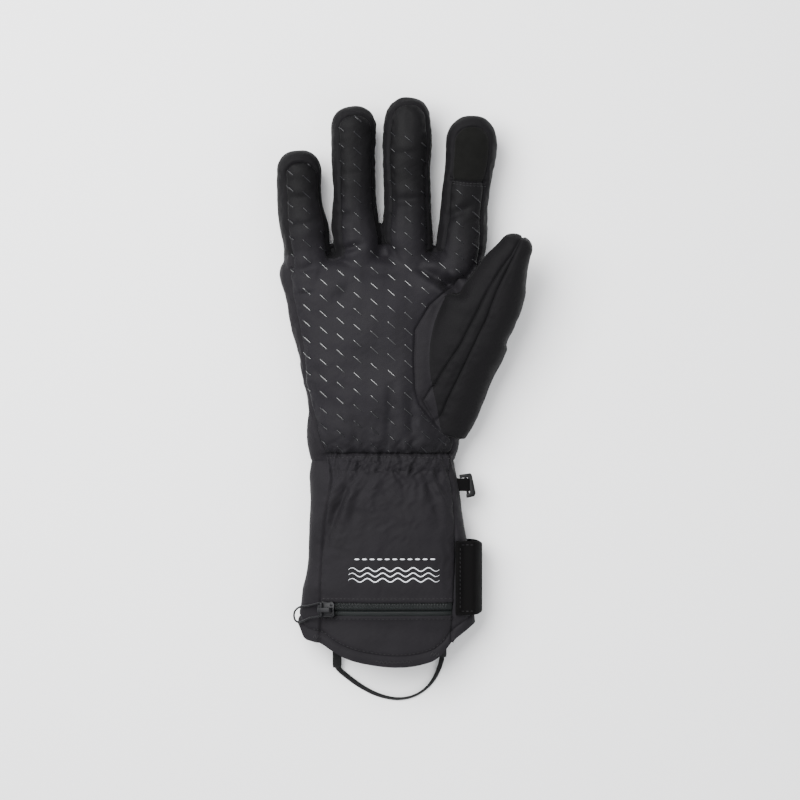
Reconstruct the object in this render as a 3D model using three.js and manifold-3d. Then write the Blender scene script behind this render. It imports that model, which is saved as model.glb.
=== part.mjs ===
// A right-hand insulated glove with a battery pocket on its gauntlet, lying on its back with the palm up.
// Millimetres. X runs across the hand to the thumb, Y from the hem to the fingertips, Z up out of the palm.
// The origin is under the middle of the glove, on the surface that it lies on.
import * as THREE from "three";
import { mergeVertices } from "three/addons/utils/BufferGeometryUtils.js";
import Module from "manifold-3d";

const wasm = await Module();
wasm.setup();

// Driving dimensions of the glove
const gauntletLength = 112.5; // wrist elastic to the lowest point of the hem
const handLength = 116.5; // wrist elastic to the finger roots
const fingerLength = 83.5; // root to tip of the middle finger
const palmWidth = 112; // across the knuckles
const palmThickness = 34;
const cuffThickness = 30;
const fingerWidth = 27.5;
const fingerThickness = 24;
const fingerCurl = 5; // how far the fingertips rise off the floor plane
const thumbWidth = 44; // across the ball of the thumb
const thumbThickness = 31;
const wall = 3; // shell, insulation and lining together
const seamGap = 0.3; // between two panels that are sewn together
const flatSink = 2.5; // how much of the stuffed back is pressed flat
const foldDepth = 2;
const foldWidth = 5;

// Palm panel, gathers, pocket and hem
const seamInset = 4.3; // finger seam in from the side towards the little finger
const seamInsetThumbSide = 3.3;
const tipInset = 6;
const gatherHeight = 9;
const gatherDepth = 1.1;
const gatherPitch = 7.2;
const zipSlotWidth = 7.6;
const zipLine = 0.717; // middle of the zip, as a share of the gauntlet below the wrist
const hemBandWidth = 6;
const patchLength = 33; // touch patch, from the fingertip seam to its lower stitching

// Zip, slider and pull
const tapeThickness = 1.4;
const chainWidth = 3;
const chainHeight = 1.1;
const sliderLength = 9.6;
const sliderWidth = 8.6;
const sliderPlate = 1.6;
const sliderStart = 0.35; // the slider's middle from the zip's end, as a share of its length
const bridgeHeight = 3.4;
const bridgeBar = 1.1;
const bridgeWidth = 2.4;
const pullWire = 1.1;
const pullLength = 18.6;
const pullWidth = 6.4; // at the slider
const pullEndWidth = 8.4;
const pullSkew = 3.9; // sideways lie of the pull's far end

// Cuff strap, clip and leash
const strapWidth = 40.5;
const strapThickness = 2.2;
const strapReach = 6.5; // how far the strap's fold stands out past the cuff
const strapTail = 50; // length of the strap under the cuff
const strapLine = 0.566; // middle of the strap, as a share of the gauntlet below the wrist
const clipLength = 13;
const clipReach = 7.2;
const clipBar = 2.4;
const webbingWidth = 7;
const webbingThickness = 0.9;
const leashWidth = 2.8;
const leashThickness = 1.3;
const leashTabWidth = 5;
const leashTabLength = 16;
const leashTabThickness = 1.2;

// Facets of the outer skin and of the coarser hollow inside it
const skin = { trunkRows: 28, trunkSides: 28, fingerSides: 14, thumbSides: 16, thumbRings: 11 };
const hollow = { trunkRows: 12, trunkSides: 16, fingerSides: 10, thumbSides: 12, thumbRings: 8 };

const wristY = gauntletLength - (gauntletLength + handLength + fingerLength) / 2;
const rootY = wristY + handLength;

const shellCloth = new THREE.MeshStandardMaterial({ color: 0x2b292d, roughness: 0.85, metalness: 0 });
const palmCloth = new THREE.MeshStandardMaterial({ color: 0x302e33, roughness: 0.7, metalness: 0 });
const patchCloth = new THREE.MeshStandardMaterial({ color: 0x2a2b2a, roughness: 0.95, metalness: 0 });
const strapCloth = new THREE.MeshStandardMaterial({ color: 0x1d1c1d, roughness: 0.9, metalness: 0 });
const zipCloth = new THREE.MeshStandardMaterial({ color: 0x262a2a, roughness: 0.8, metalness: 0 });
const zipPlastic = new THREE.MeshStandardMaterial({ color: 0x222525, roughness: 0.5, metalness: 0 });
const blackMetal = new THREE.MeshStandardMaterial({ color: 0x17171a, roughness: 0.3, metalness: 0.8 });
const clipPlastic = new THREE.MeshStandardMaterial({ color: 0x161617, roughness: 0.35, metalness: 0 });
const ribbonCloth = new THREE.MeshStandardMaterial({ color: 0x242426, roughness: 0.8, metalness: 0 });

// Sections of the palm and gauntlet. along: share of the hand above the wrist, or of the gauntlet below it (negative).
// left, right: shares of palmWidth from the middle line. rise: top of the section as a share of its own thickness.
const trunkSections = [
  { along: -1.04, left: -0.527, right: 0.355, rise: 0.93 },
  { along: -0.823, left: -0.527, right: 0.355, rise: 0.95 },
  { along: -0.76, left: -0.522, right: 0.349, rise: 0.97 },
  { along: -0.676, left: -0.498, right: 0.34, rise: 1.0 },
  { along: -0.578, left: -0.476, right: 0.33, rise: 1.02 },
  { along: -0.48, left: -0.471, right: 0.321, rise: 1.03 },
  { along: -0.334, left: -0.46, right: 0.305, rise: 1.03 },
  { along: -0.187, left: -0.453, right: 0.281, rise: 1.0 },
  { along: -0.089, left: -0.461, right: 0.271, rise: 0.97 },
  { along: 0, left: -0.468, right: 0.269, rise: 0.93 },
  { along: 0.055, left: -0.469, right: 0.276, rise: 0.94 },
  { along: 0.197, left: -0.474, right: 0.281, rise: 0.98 },
  { along: 0.338, left: -0.484, right: 0.295, rise: 1.0 },
  { along: 0.48, left: -0.517, right: 0.315, rise: 1.0 },
  { along: 0.621, left: -0.555, right: 0.34, rise: 0.98 },
  { along: 0.763, left: -0.581, right: 0.362, rise: 0.94 },
  { along: 0.88, left: -0.606, right: 0.384, rise: 0.88 },
  { along: 0.93, left: -0.6, right: 0.388, rise: 0.82 },
  { along: 0.965, left: -0.575, right: 0.37, rise: 0.68 },
];

// Fingers, from the little finger to the index. rootX, midX, tipX: centre line, shares of palmWidth.
// length: share of fingerLength. rootWidth, midWidth, tipWidth: shares of fingerWidth.
const fingers = [
  { name: "little", rootX: -0.478, midX: -0.505, tipX: -0.513, length: 0.65, rootWidth: 0.99, midWidth: 0.93, tipWidth: 0.92 },
  { name: "ring", rootX: -0.222, midX: -0.242, tipX: -0.243, length: 0.947, rootWidth: 0.98, midWidth: 0.92, tipWidth: 0.945 },
  { name: "middle", rootX: 0.025, midX: 0.016, tipX: 0.026, length: 1.0, rootWidth: 0.99, midWidth: 0.99, tipWidth: 0.985 },
  { name: "index", rootX: 0.281, midX: 0.314, tipX: 0.341, length: 0.884, rootWidth: 1.01, midWidth: 0.99, tipWidth: 1.05 },
];

// Thumb sections. x: share of palmWidth, y: share of handLength above the wrist, z: share of palmThickness,
// wide and thick: half sizes as shares of thumbWidth and thumbThickness.
const thumbSections = [
  { x: 0.19, y: 0.14, z: 0.5, wide: 0.3, thick: 0.36 },
  { x: 0.226, y: 0.249, z: 0.54, wide: 0.375, thick: 0.43 },
  { x: 0.256, y: 0.437, z: 0.62, wide: 0.475, thick: 0.49 },
  { x: 0.334, y: 0.621, z: 0.73, wide: 0.5, thick: 0.49 },
  { x: 0.417, y: 0.72, z: 0.82, wide: 0.405, thick: 0.46 },
  { x: 0.481, y: 0.867, z: 0.91, wide: 0.327, thick: 0.41 },
  { x: 0.544, y: 0.992, z: 0.97, wide: 0.205, thick: 0.34 },
];

// The hem's edge. across: share of palmWidth, drop: share of gauntletLength below the wrist.
const hemEdge = [
  { across: -0.6, drop: 0.7 },
  { across: -0.527, drop: 0.79 },
  { across: -0.4925, drop: 0.857 },
  { across: -0.4475, drop: 0.877 },
  { across: -0.399, drop: 0.889 },
  { across: -0.2855, drop: 0.955 },
  { across: -0.163, drop: 0.988 },
  { across: 0, drop: 1.0 },
  { across: 0.133, drop: 0.9745 },
  { across: 0.197, drop: 0.93 },
  { across: 0.2315, drop: 0.887 },
  { across: 0.3445, drop: 0.793 },
  { across: 0.42, drop: 0.72 },
];

// Side seams of the pocket panels. drop: share of gauntletLength below the wrist, left and right: shares of palmWidth.
const pocketSeams = [
  { drop: -0.02, left: -0.375, right: 0.236 },
  { drop: 0.08, left: -0.353, right: 0.238 },
  { drop: 0.167, left: -0.363, right: 0.244 },
  { drop: 0.32, left: -0.388, right: 0.254 },
  { drop: 0.45, left: -0.405, right: 0.26 },
  { drop: 0.665, left: -0.407, right: 0.246 },
  { drop: 0.9, left: -0.416, right: 0.236 },
];

// Outline of the palm panel below the fingers, anticlockwise. x: share of palmWidth, y: share of handLength above the wrist.
const palmOutline = [
  { x: -0.375, y: 0.033 },
  { x: 0.234, y: 0.033 },
  { x: 0.238, y: 0.1 },
  { x: 0.152, y: 0.178 },
  { x: 0.059, y: 0.33 },
  { x: 0.049, y: 0.62 },
  { x: 0.125, y: 0.72 },
  { x: 0.24, y: 0.81 },
  { x: 0.33, y: 0.9 },
  { x: 0.3, y: 0.94 },
  { x: -0.5, y: 0.93 },
  { x: -0.545, y: 0.88 },
  { x: -0.52, y: 0.76 },
  { x: -0.47, y: 0.5 },
  { x: -0.435, y: 0.33 },
];

// Seams of the thumb's narrow side strip. x: share of palmWidth, y: share of handLength above the wrist.
const thumbStrip = {
  inner: [
    { x: 0.13, y: 0.3 },
    { x: 0.206, y: 0.475 },
    { x: 0.314, y: 0.64 },
    { x: 0.396, y: 0.797 },
    { x: 0.466, y: 0.895 },
    { x: 0.5, y: 0.95 },
  ],
  outer: [
    { x: 0.525, y: 0.95 },
    { x: 0.505, y: 0.895 },
    { x: 0.447, y: 0.728 },
    { x: 0.373, y: 0.562 },
    { x: 0.31, y: 0.475 },
    { x: 0.2, y: 0.25 },
  ],
};

// Dents and folds of the palm side. x0, x1: shares of palmWidth; y0, y1: shares of handLength above the wrist, or of
// gauntletLength below it (negative). wide and deep: shares of foldWidth and foldDepth.
const folds = [
  { x0: -0.58, y0: 0.99, x1: -0.4, y1: 1.03, wide: 0.8, deep: 1.1 },
  { x0: -0.56, y0: 0.76, x1: -0.48, y1: 0.81, wide: 1.3, deep: 0.8 },
  { x0: -0.33, y0: 1.155, x1: -0.25, y1: 1.145, wide: 0.9, deep: 0.6 },
  { x0: -0.06, y0: 1.21, x1: 0.11, y1: 1.24, wide: 0.9, deep: 0.8 },
  { x0: 0.22, y0: 1.15, x1: 0.33, y1: 1.21, wide: 0.9, deep: 0.8 },
  { x0: 0.11, y0: 0.895, x1: 0.24, y1: 0.81, wide: 1.1, deep: 1.5 },
  { x0: -0.055, y0: 0.36, x1: -0.075, y1: 0.055, wide: 1.0, deep: 0.6 },
  { x0: 0.035, y0: 0.31, x1: 0.045, y1: 0.055, wide: 0.9, deep: 0.9 },
  { x0: -0.285, y0: -0.09, x1: -0.385, y1: -0.41, wide: 1.1, deep: 1.0 },
  { x0: -0.2, y0: -0.08, x1: -0.25, y1: -0.29, wide: 0.9, deep: 0.6 },
  { x0: 0.11, y0: -0.08, x1: 0.18, y1: -0.33, wide: 1.1, deep: 0.8 },
  { x0: -0.45, y0: -0.06, x1: -0.36, y1: -0.14, wide: 0.9, deep: 0.9 },
];

// The leash's route from its left tab down to the surface and back up to its right tab: the middle of the ribbon.
const leashRoute = [
  { x: -36.8, y: -156.4, z: 3.6 },
  { x: -36.6, y: -158.2, z: 3.2 },
  { x: -34.9, y: -160.4, z: 2.4 },
  { x: -31.4, y: -163.4, z: 1.4 },
  { x: -27.0, y: -166.8, z: 0.9 },
  { x: -22.0, y: -170.0, z: 0.7 },
  { x: -16.6, y: -172.8, z: 0.7 },
  { x: -10.6, y: -174.9, z: 0.7 },
  { x: -4.2, y: -176.0, z: 0.7 },
  { x: 2.2, y: -175.5, z: 0.7 },
  { x: 8.0, y: -173.4, z: 0.7 },
  { x: 13.0, y: -169.8, z: 0.7 },
  { x: 16.8, y: -165.2, z: 0.8 },
  { x: 19.3, y: -160.2, z: 1.4 },
  { x: 20.9, y: -155.4, z: 2.5 },
  { x: 21.4, y: -152.4, z: 3.3 },
  { x: 21.4, y: -150.6, z: 3.6 },
];

// A smooth value between the rows of a table, with the end rows held beyond its ends.
function between(rows, key, column, at) {
  const last = rows.length - 1;
  if (at <= rows[0][key]) return rows[0][column];
  if (at >= rows[last][key]) return rows[last][column];
  let i = 0;
  while (rows[i + 1][key] < at) i += 1;
  const slope = (a, b) => (rows[b][column] - rows[a][column]) / (rows[b][key] - rows[a][key]);
  const step = rows[i + 1][key] - rows[i][key];
  const t = (at - rows[i][key]) / step;
  const m0 = slope(Math.max(i - 1, 0), i + 1) * step;
  const m1 = slope(i, Math.min(i + 2, last)) * step;
  const rise = rows[i + 1][column] - rows[i][column];
  return rows[i][column] + t * (m0 + t * (3 * rise - 2 * m0 - m1 + t * (m0 + m1 - 2 * rise)));
}

const spread = (from, to, steps) => Array.from({ length: steps + 1 }, (_, i) => from + ((to - from) * i) / steps);
const acrossAt = (share) => share * palmWidth;
const heightAt = (share) => wristY + share * (share < 0 ? gauntletLength : handLength);
const alongOf = (y) => (y - wristY) / (y < wristY ? gauntletLength : handLength);
const belowWrist = (drop) => wristY - drop * gauntletLength;
const smoothStep = (t) => THREE.MathUtils.smoothstep(t, 0, 1);

const strapMiddleY = belowWrist(strapLine);
const zipMiddleY = belowWrist(zipLine);
const gatherTop = heightAt(0.033) - seamGap;
const gatherBottom = gatherTop - gatherHeight;
const strapFade = 9; // length over which the cuff's back lifts over the strap

// Height of the cuff's back above the surface: it lies on the strap where that passes under it.
function seatHeight(y) {
  const past = Math.abs(y - strapMiddleY) - strapWidth / 2 - seamGap;
  return (strapThickness + seamGap) * (1 - smoothStep((past - strapFade / 2) / strapFade));
}

// Depth of all folds at a point of the palm side.
function foldAt(x, y) {
  let depth = 0;
  for (const fold of folds) {
    const ax = acrossAt(fold.x0);
    const ay = heightAt(fold.y0);
    const dx = acrossAt(fold.x1) - ax;
    const dy = heightAt(fold.y1) - ay;
    const t = THREE.MathUtils.clamp(((x - ax) * dx + (y - ay) * dy) / (dx * dx + dy * dy), 0, 1);
    const away = Math.hypot(x - ax - t * dx, y - ay - t * dy) / (fold.wide * foldWidth);
    depth += fold.deep * foldDepth * Math.exp(-away * away);
  }
  return depth;
}

function trunkSection(y, inset) {
  const along = alongOf(y);
  const left = acrossAt(between(trunkSections, "along", "left", along)) + inset;
  const right = acrossAt(between(trunkSections, "along", "right", along)) - inset;
  const thickness = THREE.MathUtils.lerp(cuffThickness, palmThickness, smoothStep((along + 0.3) / 0.6));
  const top = between(trunkSections, "along", "rise", along) * thickness - inset;
  const low = seatHeight(y) + inset;
  return { middle: (left + right) / 2, half: (right - left) / 2, top, low, centre: (top + low) / 2 };
}

const roundness = 2.5; // exponent of the rounded sections

// Top of the palm side at a point, for what is seated on it.
function trunkTop(x, y) {
  const s = trunkSection(y, 0);
  const share = Math.min(1, Math.abs((x - s.middle) / s.half));
  const bulge = (1 - share ** roundness) ** (1 / roundness);
  return s.centre + (s.top - s.centre) * bulge - foldAt(x, y) * bulge;
}

// Underside of a section at a point: pressed flat along its middle.
function trunkFloor(s, x) {
  const share = Math.min(1, Math.abs((x - s.middle) / s.half));
  const bulge = (1 - share ** roundness) ** (1 / roundness);
  return Math.max(s.low, s.centre - (s.centre - s.low + flatSink) * bulge);
}

function trunkRing(y, inset, sides) {
  const s = trunkSection(y, inset);
  const ring = [];
  for (let i = 0; i < sides; i += 1) {
    const angle = (2 * Math.PI * i) / sides;
    const c = Math.cos(angle);
    const k = Math.sin(angle);
    const x = s.middle + s.half * Math.sign(c) * Math.abs(c) ** (2 / roundness);
    const bulge = Math.abs(k) ** (2 / roundness);
    const up = s.centre + (s.top - s.centre) * bulge - foldAt(x, y) * bulge;
    ring.push(new THREE.Vector3(x, y, k >= 0 ? up : trunkFloor(s, x)));
  }
  return ring;
}

// A closed solid through rings of points, with a flat fan at each end.
function loft(rings) {
  const sides = rings[0].length;
  const positions = rings.flat().flatMap((p) => [p.x, p.y, p.z]);
  const index = [];
  for (let r = 0; r + 1 < rings.length; r += 1) {
    for (let i = 0; i < sides; i += 1) {
      const a = r * sides + i;
      const b = r * sides + ((i + 1) % sides);
      index.push(a, b, a + sides, b, b + sides, a + sides);
    }
  }
  [rings[0], rings[rings.length - 1]].forEach((ring, end) => {
    const centre = ring.reduce((sum, p) => sum.add(p), new THREE.Vector3()).divideScalar(sides);
    const hub = positions.length / 3;
    positions.push(centre.x, centre.y, centre.z);
    const first = end ? (rings.length - 1) * sides : 0;
    for (let i = 0; i < sides; i += 1) {
      const a = first + i;
      const b = first + ((i + 1) % sides);
      index.push(...(end ? [a, b, hub] : [b, a, hub]));
    }
  });
  const geometry = new THREE.BufferGeometry();
  geometry.setAttribute("position", new THREE.Float32BufferAttribute(positions, 3));
  geometry.setIndex(index);
  return geometry;
}

function solidOf(geometry) {
  const bare = new THREE.BufferGeometry();
  bare.setAttribute("position", geometry.getAttribute("position"));
  if (geometry.index) bare.setIndex(geometry.index);
  const merged = mergeVertices(bare, 1e-4);
  const mesh = { numProp: 3, vertProperties: merged.attributes.position.array, triVerts: new Uint32Array(merged.index.array) };
  const solid = new wasm.Manifold(new wasm.Mesh(mesh));
  if (solid.volume() > 0) return solid;
  for (let i = 0; i < mesh.triVerts.length; i += 3) {
    [mesh.triVerts[i + 1], mesh.triVerts[i + 2]] = [mesh.triVerts[i + 2], mesh.triVerts[i + 1]];
  }
  return new wasm.Manifold(new wasm.Mesh(mesh));
}

function meshOf(name, solid, material) {
  const whole = solid.decompose().sort((a, b) => b.volume() - a.volume())[0];
  const { numProp, vertProperties, triVerts } = whole.getMesh();
  const positions = new Float32Array((vertProperties.length / numProp) * 3);
  for (let i = 0; i < positions.length / 3; i += 1) {
    positions.set(vertProperties.subarray(i * numProp, i * numProp + 3), i * 3);
  }
  const geometry = new THREE.BufferGeometry();
  geometry.setAttribute("position", new THREE.BufferAttribute(positions, 3));
  geometry.setIndex(new THREE.BufferAttribute(triVerts, 1));
  geometry.computeVertexNormals();
  const mesh = new THREE.Mesh(geometry, material);
  mesh.name = name;
  return mesh;
}

const trunkEndY = heightAt(trunkSections[trunkSections.length - 1].along);

function trunk(inset, facets) {
  const start = belowWrist(-trunkSections[0].along);
  const ys = spread(start, trunkEndY - inset, facets.trunkRows);
  return solidOf(loft(ys.map((y) => trunkRing(y, inset, facets.trunkSides))));
}

const fingerTipY = (row) => rootY + row.length * fingerLength;
const fingerStartY = rootY - 0.2 * handLength;

const fingerRootZ = 0.43 * palmThickness;
const fingerTipZ = fingerRootZ + fingerCurl;
const rootFullness = 1.2; // thickness of a finger where it leaves the palm, as a share of fingerThickness

// Middle and half sizes of a finger at a height, without its rounded tip.
function fingerAt(row, y) {
  const t = THREE.MathUtils.clamp((y - rootY) / (fingerTipY(row) - rootY), -0.4, 1);
  const bend = (root, mid, tip) => root + t * (4 * mid - 3 * root - tip + t * (2 * root + 2 * tip - 4 * mid));
  const x = acrossAt(bend(row.rootX, row.midX, row.tipX));
  const width = fingerWidth * bend(row.rootWidth, row.midWidth, row.tipWidth);
  const thickness = fingerThickness * (1 + (rootFullness - 1) * (1 - Math.max(t, 0)) ** 2);
  const z = THREE.MathUtils.lerp(fingerRootZ, fingerTipZ, Math.max(t, 0) ** 1.5);
  return { x, half: width / 2, tall: thickness / 2, z };
}

function finger(row, inset, facets) {
  const tip = fingerTipY(row) - inset;
  const capLength = 0.5 * fingerWidth * row.tipWidth;
  const capStart = tip - capLength;
  const rise = spread(0, 1, Math.round(facets.fingerSides / 2) - 1);
  const heights = rise.map((t) => fingerStartY + t * (capStart - fingerStartY));
  const caps = [0.4, 0.7, 0.89, 0.98].map((t) => capStart + t * capLength);
  const rings = [...heights, ...caps].map((y) => {
    const f = fingerAt(row, y);
    const into = Math.max(0, (y - capStart) / capLength);
    const shrink = (1 - into ** 2.3) ** (1 / 2.3);
    const ring = [];
    for (let i = 0; i < facets.fingerSides; i += 1) {
      const angle = (2 * Math.PI * i) / facets.fingerSides;
      const c = Math.cos(angle);
      const k = Math.sin(angle);
      const x = f.x + (f.half - inset) * shrink * Math.sign(c) * Math.abs(c) ** 0.9;
      const bulge = Math.sign(k) * Math.abs(k) ** 0.9;
      const dent = k > 0 ? foldAt(x, y) * bulge : 0;
      const z = f.z + (f.tall - inset) * shrink * bulge - dent;
      ring.push(new THREE.Vector3(x, y, Math.max(z, inset)));
    }
    return ring;
  });
  return solidOf(loft(rings));
}

function thumbCentres() {
  return thumbSections.map((s) => new THREE.Vector3(acrossAt(s.x), heightAt(s.y), s.z * palmThickness));
}

function thumb(inset, facets) {
  const centres = thumbCentres();
  const curve = new THREE.CatmullRomCurve3(centres);
  const last = thumbSections.length - 1;
  const rings = [];
  const addRing = (middle, along, wide, thick) => {
    const side = new THREE.Vector3(along.y, -along.x, 0).normalize();
    const up = new THREE.Vector3().crossVectors(side, along);
    const ring = [];
    for (let i = 0; i < facets.thumbSides; i += 1) {
      const angle = (-2 * Math.PI * i) / facets.thumbSides;
      const c = Math.sign(Math.cos(angle)) * Math.abs(Math.cos(angle)) ** 0.92;
      const k = Math.sign(Math.sin(angle)) * Math.abs(Math.sin(angle)) ** 0.92;
      ring.push(middle.clone().addScaledVector(side, wide * c).addScaledVector(up, thick * k));
    }
    rings.push(ring);
  };
  const rows = thumbSections.map((s, n) => ({ ...s, t: n / last }));
  for (const t of spread(0, 1, facets.thumbRings)) {
    const wide = between(rows, "t", "wide", t) * thumbWidth - inset;
    const thick = between(rows, "t", "thick", t) * thumbThickness - inset;
    addRing(curve.getPoint(t), curve.getTangent(t), wide, thick);
  }
  const end = curve.getPoint(1);
  const along = curve.getTangent(1);
  const capLength = thumbSections[last].wide * thumbWidth - inset;
  for (const t of [0.35, 0.65, 0.88, 0.98]) {
    const shrink = (1 - t ** 2.2) ** (1 / 2.2);
    const wide = shrink * capLength;
    const thick = shrink * (thumbSections[last].thick * thumbThickness - inset);
    addRing(end.clone().addScaledVector(along, t * capLength), along, wide, thick);
  }
  return solidOf(loft(rings));
}

const skyHigh = 2 * (palmThickness + thumbThickness);

// A prism on an outline of [x, y] points, from one height to another.
function prism(outline, low, high) {
  const shape = new THREE.Shape(outline.map(([x, y]) => new THREE.Vector2(x, y)));
  const geometry = new THREE.ExtrudeGeometry(shape, { depth: high - low, bevelEnabled: false });
  geometry.translate(0, 0, low);
  return solidOf(geometry);
}

// An outline moved outward by a distance, corner by corner.
function grown(outline, distance) {
  const turning = Math.sign(THREE.ShapeUtils.area(outline.map(([x, y]) => new THREE.Vector2(x, y))));
  return outline.map((p, i) => {
    const before = outline[(i + outline.length - 1) % outline.length];
    const after = outline[(i + 1) % outline.length];
    const a = new THREE.Vector2(p[1] - before[1], before[0] - p[0]).normalize();
    const b = new THREE.Vector2(after[1] - p[1], p[0] - after[0]).normalize();
    const out = a.clone().add(b).normalize();
    const reach = (turning * distance) / Math.max(0.5, out.dot(a));
    return [p[0] + out.x * reach, p[1] + out.y * reach];
  });
}

function fingerPanelOutline(row, grow) {
  const top = fingerTipY(row) - tipInset + grow;
  const base = heightAt(0.86);
  const sides = (y) => {
    const f = fingerAt(row, y);
    return [f.x - f.half + seamInset - grow, f.x + f.half - seamInsetThumbSide + grow];
  };
  const [tipLeft, tipRight] = sides(top);
  const round = (tipRight - tipLeft) / 2;
  const levels = [0, 0.25, 0.5, 0.75, 1].map((t) => base + t * (top - round - base));
  const arc = [0.2, 0.4, 0.6, 0.8].map((t) => Math.PI * t);
  return [
    ...levels.map((y) => [sides(y)[1], y]),
    ...arc.map((a) => [(tipLeft + tipRight) / 2 + round * Math.cos(a), top - round + round * Math.sin(a)]),
    ...levels.reverse().map((y) => [sides(y)[0], y]),
  ];
}

// A panel's prism starts inside the hollow, so that it takes only the palm side of the shell.
const panelFloor = 0.44 * palmThickness;
const fingerPanelFloor = fingerTipZ + 1;
const panelPrism = (outline) => prism(outline, panelFloor, skyHigh);

function palmPrism(grow) {
  const palm = panelPrism(grown(palmOutline.map((p) => [acrossAt(p.x), heightAt(p.y)]), grow));
  return fingers.reduce((all, row) => all.add(prism(fingerPanelOutline(row, grow), fingerPanelFloor, skyHigh)), palm);
}

const hemY = (x) => belowWrist(between(hemEdge, "across", "drop", x / palmWidth));
const hemTop = (x) => hemY(x) + hemBandWidth;
const seamX = (side, y) => acrossAt(between(pocketSeams, "drop", side, (wristY - y) / gauntletLength));

// Outline of all that lies between two edges that run across the cuff, each a function of x.
function crossBand(topEdge, bottomEdge, left, right) {
  const xs = spread(left, right, 30);
  return [...xs.map((x) => [x, bottomEdge(x)]), ...xs.reverse().map((x) => [x, topEdge(x)])];
}

// Outline of the cuff's front between its two side seams, from the gathers down to the hem band.
function frontOutline() {
  const steps = 12;
  const side = (name) => {
    const low = hemTop(seamX(name, hemTop(0)));
    return spread(gatherTop, low, steps).map((y) => [seamX(name, y), y]);
  };
  const left = side("left");
  const right = side("right");
  const middle = spread(left[steps][0], right[steps][0], 8).slice(1, 8).map((x) => [x, hemTop(x)]);
  return [...left, ...middle, ...right.reverse()];
}

// A slab on a grid of x and y, between two heights that are functions of x and y.
function slab(xs, ys, topOf, lowOf) {
  const positions = [];
  const index = [];
  const add = (heightOf) => {
    for (const y of ys) for (const x of xs) positions.push(x, y, heightOf(x, y));
  };
  add(topOf);
  add(lowOf);
  const under = xs.length * ys.length;
  const at = (i, j) => j * xs.length + i;
  for (let j = 0; j + 1 < ys.length; j += 1) {
    for (let i = 0; i + 1 < xs.length; i += 1) {
      const [a, b, c, d] = [at(i, j), at(i + 1, j), at(i + 1, j + 1), at(i, j + 1)];
      index.push(a, b, c, a, c, d, under + a, under + c, under + b, under + a, under + d, under + c);
    }
  }
  const wallOf = (a, b) => index.push(a, under + a, b, b, under + a, under + b);
  for (let i = 0; i + 1 < xs.length; i += 1) {
    wallOf(at(i, 0), at(i + 1, 0));
    wallOf(at(i + 1, ys.length - 1), at(i, ys.length - 1));
  }
  for (let j = 0; j + 1 < ys.length; j += 1) {
    wallOf(at(xs.length - 1, j), at(xs.length - 1, j + 1));
    wallOf(at(0, j + 1), at(0, j));
  }
  const geometry = new THREE.BufferGeometry();
  geometry.setAttribute("position", new THREE.Float32BufferAttribute(positions, 3));
  geometry.setIndex(index);
  return solidOf(geometry);
}

// A tube of an oval section along points. A closed tube joins its last ring to its first.
function tube(points, wide, tall, sides, closed) {
  const rings = points.map((p, i) => {
    const before = points[closed ? (i + points.length - 1) % points.length : Math.max(i - 1, 0)];
    const after = points[closed ? (i + 1) % points.length : Math.min(i + 1, points.length - 1)];
    const along = after.clone().sub(before).normalize();
    const side = new THREE.Vector3(along.y, -along.x, 0).normalize();
    const up = new THREE.Vector3().crossVectors(side, along);
    return spread(0, 2 * Math.PI, sides)
      .slice(0, sides)
      .map((a) => p.clone().addScaledVector(side, (Math.cos(a) * wide) / 2).addScaledVector(up, (-Math.sin(a) * tall) / 2));
  });
  if (!closed) return solidOf(loft(rings));
  const index = [];
  for (let r = 0; r < rings.length; r += 1) {
    for (let i = 0; i < sides; i += 1) {
      const next = ((r + 1) % rings.length) * sides;
      const a = r * sides + i;
      const b = r * sides + ((i + 1) % sides);
      index.push(a, b, next + i, b, next + ((i + 1) % sides), next + i);
    }
  }
  const geometry = new THREE.BufferGeometry();
  geometry.setAttribute("position", new THREE.Float32BufferAttribute(rings.flat().flatMap((p) => [p.x, p.y, p.z]), 3));
  geometry.setIndex(index);
  return solidOf(geometry);
}

const glove = new THREE.Group();

// The shell: palm, fingers and gauntlet in one hollow, cut at the hem.
const handSolid = (inset, facets) => fingers.reduce((all, row) => all.add(finger(row, inset, facets)), trunk(inset, facets));
const farLeft = -palmWidth;
const farRight = palmWidth;
const farBelow = () => -2 * gauntletLength;
const belowHem = (lift) => prism(crossBand((x) => hemY(x) + lift, farBelow, farLeft, farRight), -skyHigh, skyHigh);
const thumbHollow = thumb(wall, hollow);
const hand = handSolid(0, skin).subtract(handSolid(wall, hollow)).subtract(thumbHollow).subtract(belowHem(0));

const hemBand = hand.intersect(belowHem(hemBandWidth));
const upperHand = hand.subtract(belowHem(hemBandWidth + seamGap));
const pocketTop = gatherBottom - seamGap;
const zipTop = zipMiddleY + zipSlotWidth / 2;
const zipBottom = zipMiddleY - zipSlotWidth / 2;
const flapTop = zipBottom - seamGap;

const front = frontOutline();
const wholeFront = panelPrism(grown(front, seamGap));
const backShell = upperHand.subtract(palmPrism(seamGap)).subtract(wholeFront);
const palmPanels = upperHand.intersect(palmPrism(0));

// The touch patch is the index finger's front above a line of stitching.
const index = fingers[fingers.length - 1];
const patchBottom = fingerTipY(index) - tipInset - patchLength;
const patchZone = (low) =>
  prism([[acrossAt(index.rootX), low], [farRight, low], [farRight, 2 * handLength], [acrossAt(index.rootX), 2 * handLength]], 0, skyHigh);
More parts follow.
